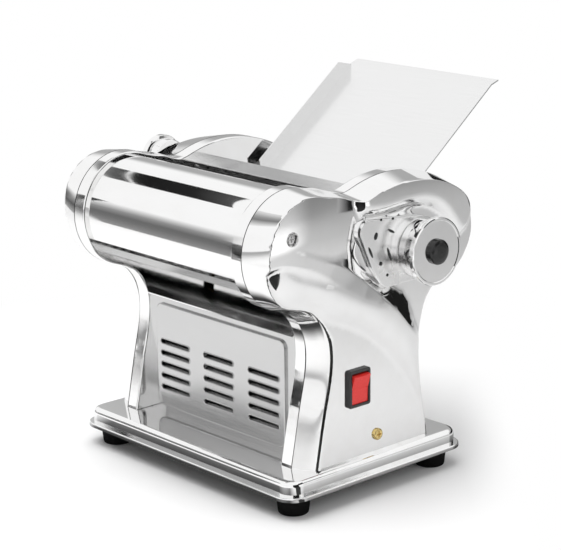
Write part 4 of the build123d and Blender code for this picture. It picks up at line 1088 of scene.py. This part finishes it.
floor = lying("floor", box_round((-FLOOR_HALF, FLOOR_HALF), (-FLOOR_HALF, FLOOR_HALF)), 0)
floor_paint, floor_tree, floor_shader = surface("floor paint", Roughness=0.9, Specular_IOR_Level=0.0)
seen_by = add(floor_tree, "ShaderNodeLightPath").outputs
spot = add(floor_tree, "ShaderNodeTexCoord").outputs["Object"]
spot_parts = add(floor_tree, "ShaderNodeSeparateXYZ", {"Vector": spot}).outputs


def floor_math(operation, *values):
    """One arithmetic step in the floor's material."""
    return math_node(floor_tree, operation, *values)


diagonal = add(floor_tree, "ShaderNodeVectorMath", {0: spot, 1: DIAGONAL}, operation="DOT_PRODUCT")
diagonal = diagonal.outputs["Value"]
lit = add(floor_tree, "ShaderNodeMapRange", {
    "Value": diagonal, "From Min": LIT_REACH[0], "From Max": LIT_REACH[1]}).outputs["Result"]
from_dome = [floor_math("SUBTRACT", spot_parts["X"], high_corner[0]),
             floor_math("SUBTRACT", spot_parts["Y"], DOME_Y)]
heading = floor_math("ARCTAN2", from_dome[1], from_dome[0])
bright = floor_math("MULTIPLY", eased(floor_tree, heading, BRIGHT_HEADING),
                    eased(floor_tree, spot_parts["X"], BRIGHT_X))
# painted light: darker towards the right, with a bright stretch at the far right
open_floor = tint(floor_tree, bright, ramp(floor_tree, lit, LIT_TONES), grey(1.0))
# painted shade of the machine on the floor, seen by mirror rays only
aside = floor_math("SUBTRACT", floor_math("ABSOLUTE", spot_parts["X"]), high_corner[0])
ahead = floor_math("SUBTRACT", floor_math("ABSOLUTE", floor_math("SUBTRACT", spot_parts["Y"], SHIFT_Y)),
                   high_corner[1] - SHIFT_Y)
from_base = floor_math("MAXIMUM", floor_math("MULTIPLY", aside, SHADE_ASIDE), ahead)
shade = eased(floor_tree, from_base, SHADE_REACH, SHADE_LEVEL, 1.0)
mirrored_floor = add(floor_tree, "ShaderNodeVectorMath", {
    0: open_floor, "Scale": shade}, operation="SCALE").outputs[0]
floor_colour = tint(floor_tree, seen_by["Is Glossy Ray"], grey(FLOOR_LEVEL), mirrored_floor)
floor_tree.links.new(floor_colour, floor_shader.inputs["Base Color"])

# %% Floor seen by the camera
SHADOW_MIDDLE = (-0.09, -0.10, 0.0)
WHITE_REACH = (0.28, 0.52)  # metres from there over which the floor turns pure white
WHITE_DIAGONAL = (0.14, 0.20)  # metres along the diagonal over which it does so too
away = add(floor_tree, "ShaderNodeVectorMath", {0: spot, 1: SHADOW_MIDDLE}, operation="DISTANCE")
far = floor_math("MAXIMUM", eased(floor_tree, away.outputs["Value"], WHITE_REACH),
                 eased(floor_tree, diagonal, WHITE_DIAGONAL))
white_share = floor_math("MULTIPLY", far, seen_by["Is Camera Ray"])
glow = add(floor_tree, "ShaderNodeEmission", {"Color": grey(1.0), "Strength": 1.0})
floor_mix = add(floor_tree, "ShaderNodeMixShader", {
    0: white_share, 1: floor_shader.outputs[0], 2: glow.outputs[0]})
floor_tree.links.new(floor_mix.outputs[0], floor_tree.nodes["Material Output"].inputs["Surface"])
floor.data.materials.append(floor_paint)
print("floor nodes:", len(floor_tree.nodes))

# %% [markdown]
# ### Walls and lamps
# The world stands for walls and ceiling. Camera rays get white, mirror rays a room that is darker
# behind the machine than before it, and all others an even level that fills the shadows.

# %% World
AMBIENT = 0.5  # the level at which walls and ceiling light the machine
REAR_WALL, FRONT_WALL = 0.42, 1.0  # the levels that mirror rays meet behind and before the machine
FRONT_WAY = (0.2, -1.0, 0.6)  # towards the bright walls
WALL_TURN = (-0.58, -0.35)  # where along that way the tone changes
world = bpy.data.worlds.new("studio")
bpy.context.scene.world = world
world.use_nodes = True
sky = world.node_tree
sky.nodes.clear()


def background(colour, strength):
    """A world shader with an even strength."""
    return add(sky, "ShaderNodeBackground", {"Color": colour, "Strength": strength}).outputs[0]


seen = add(sky, "ShaderNodeLightPath").outputs
look = add(sky, "ShaderNodeTexCoord").outputs["Generated"]
forward = add(sky, "ShaderNodeVectorMath", {0: look, 1: FRONT_WAY}, operation="DOT_PRODUCT")
front_share = eased(sky, forward.outputs["Value"], WALL_TURN)
walls = tint(sky, front_share, grey(REAR_WALL), grey(FRONT_WALL))
shiny = math_node(sky, "MAXIMUM", seen["Is Glossy Ray"], seen["Is Transmission Ray"])
unseen = add(sky, "ShaderNodeMixShader", {
    0: shiny, 1: background(grey(1.0), AMBIENT), 2: background(walls, 1.0)})
all_rays = add(sky, "ShaderNodeMixShader", {
    0: seen["Is Camera Ray"], 1: unseen.outputs[0], 2: background(grey(1.0), 1.0)})
add(sky, "ShaderNodeOutputWorld", {"Surface": all_rays.outputs[0]})


# %% Lamps
MIDDLE = (0.0, -0.02, 0.15)  # of the machine


def soft_light(name, place, size, power):
    """A square lamp that looks at the machine; mirror rays pass it and see the walls."""
    lamp = bpy.data.lights.new(name, "AREA")
    lamp.shape = "RECTANGLE"
    lamp.size, lamp.size_y = size, size
    lamp.energy = power
    made = plain_object(name, lamp)
    aim = (Vector(MIDDLE) - Vector(place)).to_track_quat("-Z", "Y")
    made.matrix_world = Matrix.Translation(place) @ aim.to_matrix().to_4x4()
    made.visible_glossy = False
    print(name, power, "W")


soft_light("overhead light", (-0.2, -0.3, 1.6), 1.6, 28.0)
soft_light("side light", (1.4, 0.3, 0.9), 0.9, 4.0)


# %% [markdown]
# ### Cards
# A card is an emitter whose tone changes along one axis. Cards are invisible to the camera and
# cast no shadow: only mirror rays meet them. A curved mirror squeezes the whole room into a few
# lines, so a card's edges decide where a line on the steel starts and ends, and its tones become
# the shading across the line.


# %% Card paint
def studio_card(card, axis, stops):
    """Paints a card with tones from its low to its high end along an axis (0, 1 or 2)."""
    reach = [vertex.co[axis] for vertex in card.data.vertices]
    material = bpy.data.materials.new(card.name)
    material.use_nodes = True
    tree = material.node_tree
    tree.nodes.clear()
    place = add(tree, "ShaderNodeTexCoord").outputs["Object"]
    along = add(tree, "ShaderNodeSeparateXYZ", {"Vector": place}).outputs[axis]
    share = add(tree, "ShaderNodeMapRange", {
        "Value": along, "From Min": min(reach), "From Max": max(reach)}).outputs["Result"]
    light = add(tree, "ShaderNodeEmission", {"Color": ramp(tree, share, stops), "Strength": 1.0})
    add(tree, "ShaderNodeOutputMaterial", {"Surface": light.outputs[0]})
    card.data.materials.append(material)
    card.visible_camera = False
    card.visible_diffuse = False
    card.visible_shadow = False


# %% Cards before and over the front cover
ALONG_X, ALONG_Y, ALONG_Z = 0, 1, 2  # the axis along which a card's tone changes
BLACK = [(0.0, 0.012), (1.0, 0.012)]
FRONT_Y, ROOF_Z = -0.70, 0.45
STRIP_FRONT, STRIP_REAR = -0.196, -0.086
studio_card(upright("low wall before the cover", (-0.80, FRONT_Y), (-0.494, FRONT_Y), 0.0, 0.47), ALONG_Z,
            [(0.0, 0.30), (0.35, 0.17), (0.5, 0.15), (0.7, 0.3), (0.85, 0.62), (1.0, 0.98)])
studio_card(upright("post left of the cover", (-0.86, FRONT_Y), (-0.806, FRONT_Y), 0.20, 0.48),
            ALONG_Z, BLACK)
studio_card(upright("post right of the cover", (-0.492, FRONT_Y), (-0.450, FRONT_Y), 0.05, 0.30),
            ALONG_Z, BLACK)
studio_card(lying("soft start of the dark strip", [
    (-0.335, STRIP_FRONT), (-0.293, STRIP_FRONT), (-0.298, STRIP_REAR), (-0.35, STRIP_REAR)], ROOF_Z),
    ALONG_X, [(0.0, 0.35), (0.5, 0.12), (1.0, 0.06)])
studio_card(lying("dark strip over the cover", [
    (-0.286, STRIP_FRONT), (-0.135, STRIP_FRONT), (-0.115, STRIP_REAR), (-0.291, STRIP_REAR)], ROOF_Z),
    ALONG_X, [(0.0, 0.01), (0.6, 0.02), (1.0, 0.10)])
studio_card(lying("soft dip over the wall", box_round((-0.03, 0.07), (-0.37, -0.21)), ROOF_Z),
            ALONG_Y, [(0.0, 0.9), (0.5, 0.22), (0.7, 0.35), (1.0, 0.8)])

# %% Cards behind and at the sides
BACK_Y, LEFT_X = 1.3, -1.2
JUST_OVER = 0.0006  # height of a card that lies on the floor
RIGHT_FRONT, RIGHT_MIDDLE, RIGHT_REAR = (1.25, -0.95), (1.35, 0.0), (1.0, 0.8)
studio_card(upright("gap behind the floor", (-0.9, BACK_Y), (0.95, BACK_Y), 0.0, 0.50), ALONG_X,
            [(0.0, 0.01), (0.88, 0.012), (1.0, 0.4)])
studio_card(upright("low wall at the left", (LEFT_X, -0.80), (LEFT_X, -0.15), 0.0, 0.30), ALONG_Z,
            [(0.0, 0.4), (0.4, 0.10), (0.7, 0.3), (1.0, 0.9)])
studio_card(lying("dark floor at the right", [(0.15, -0.11), (1.2, -0.92), RIGHT_MIDDLE], JUST_OVER),
            ALONG_X, [(0.0, 0.05), (0.5, 0.012)])
studio_card(upright("dark wall at the right", RIGHT_FRONT, RIGHT_MIDDLE, 0.0, 0.90), ALONG_Z, BLACK)
studio_card(upright("dark beam at the right", RIGHT_MIDDLE, RIGHT_REAR, 0.50, 1.20), ALONG_Z, BLACK)
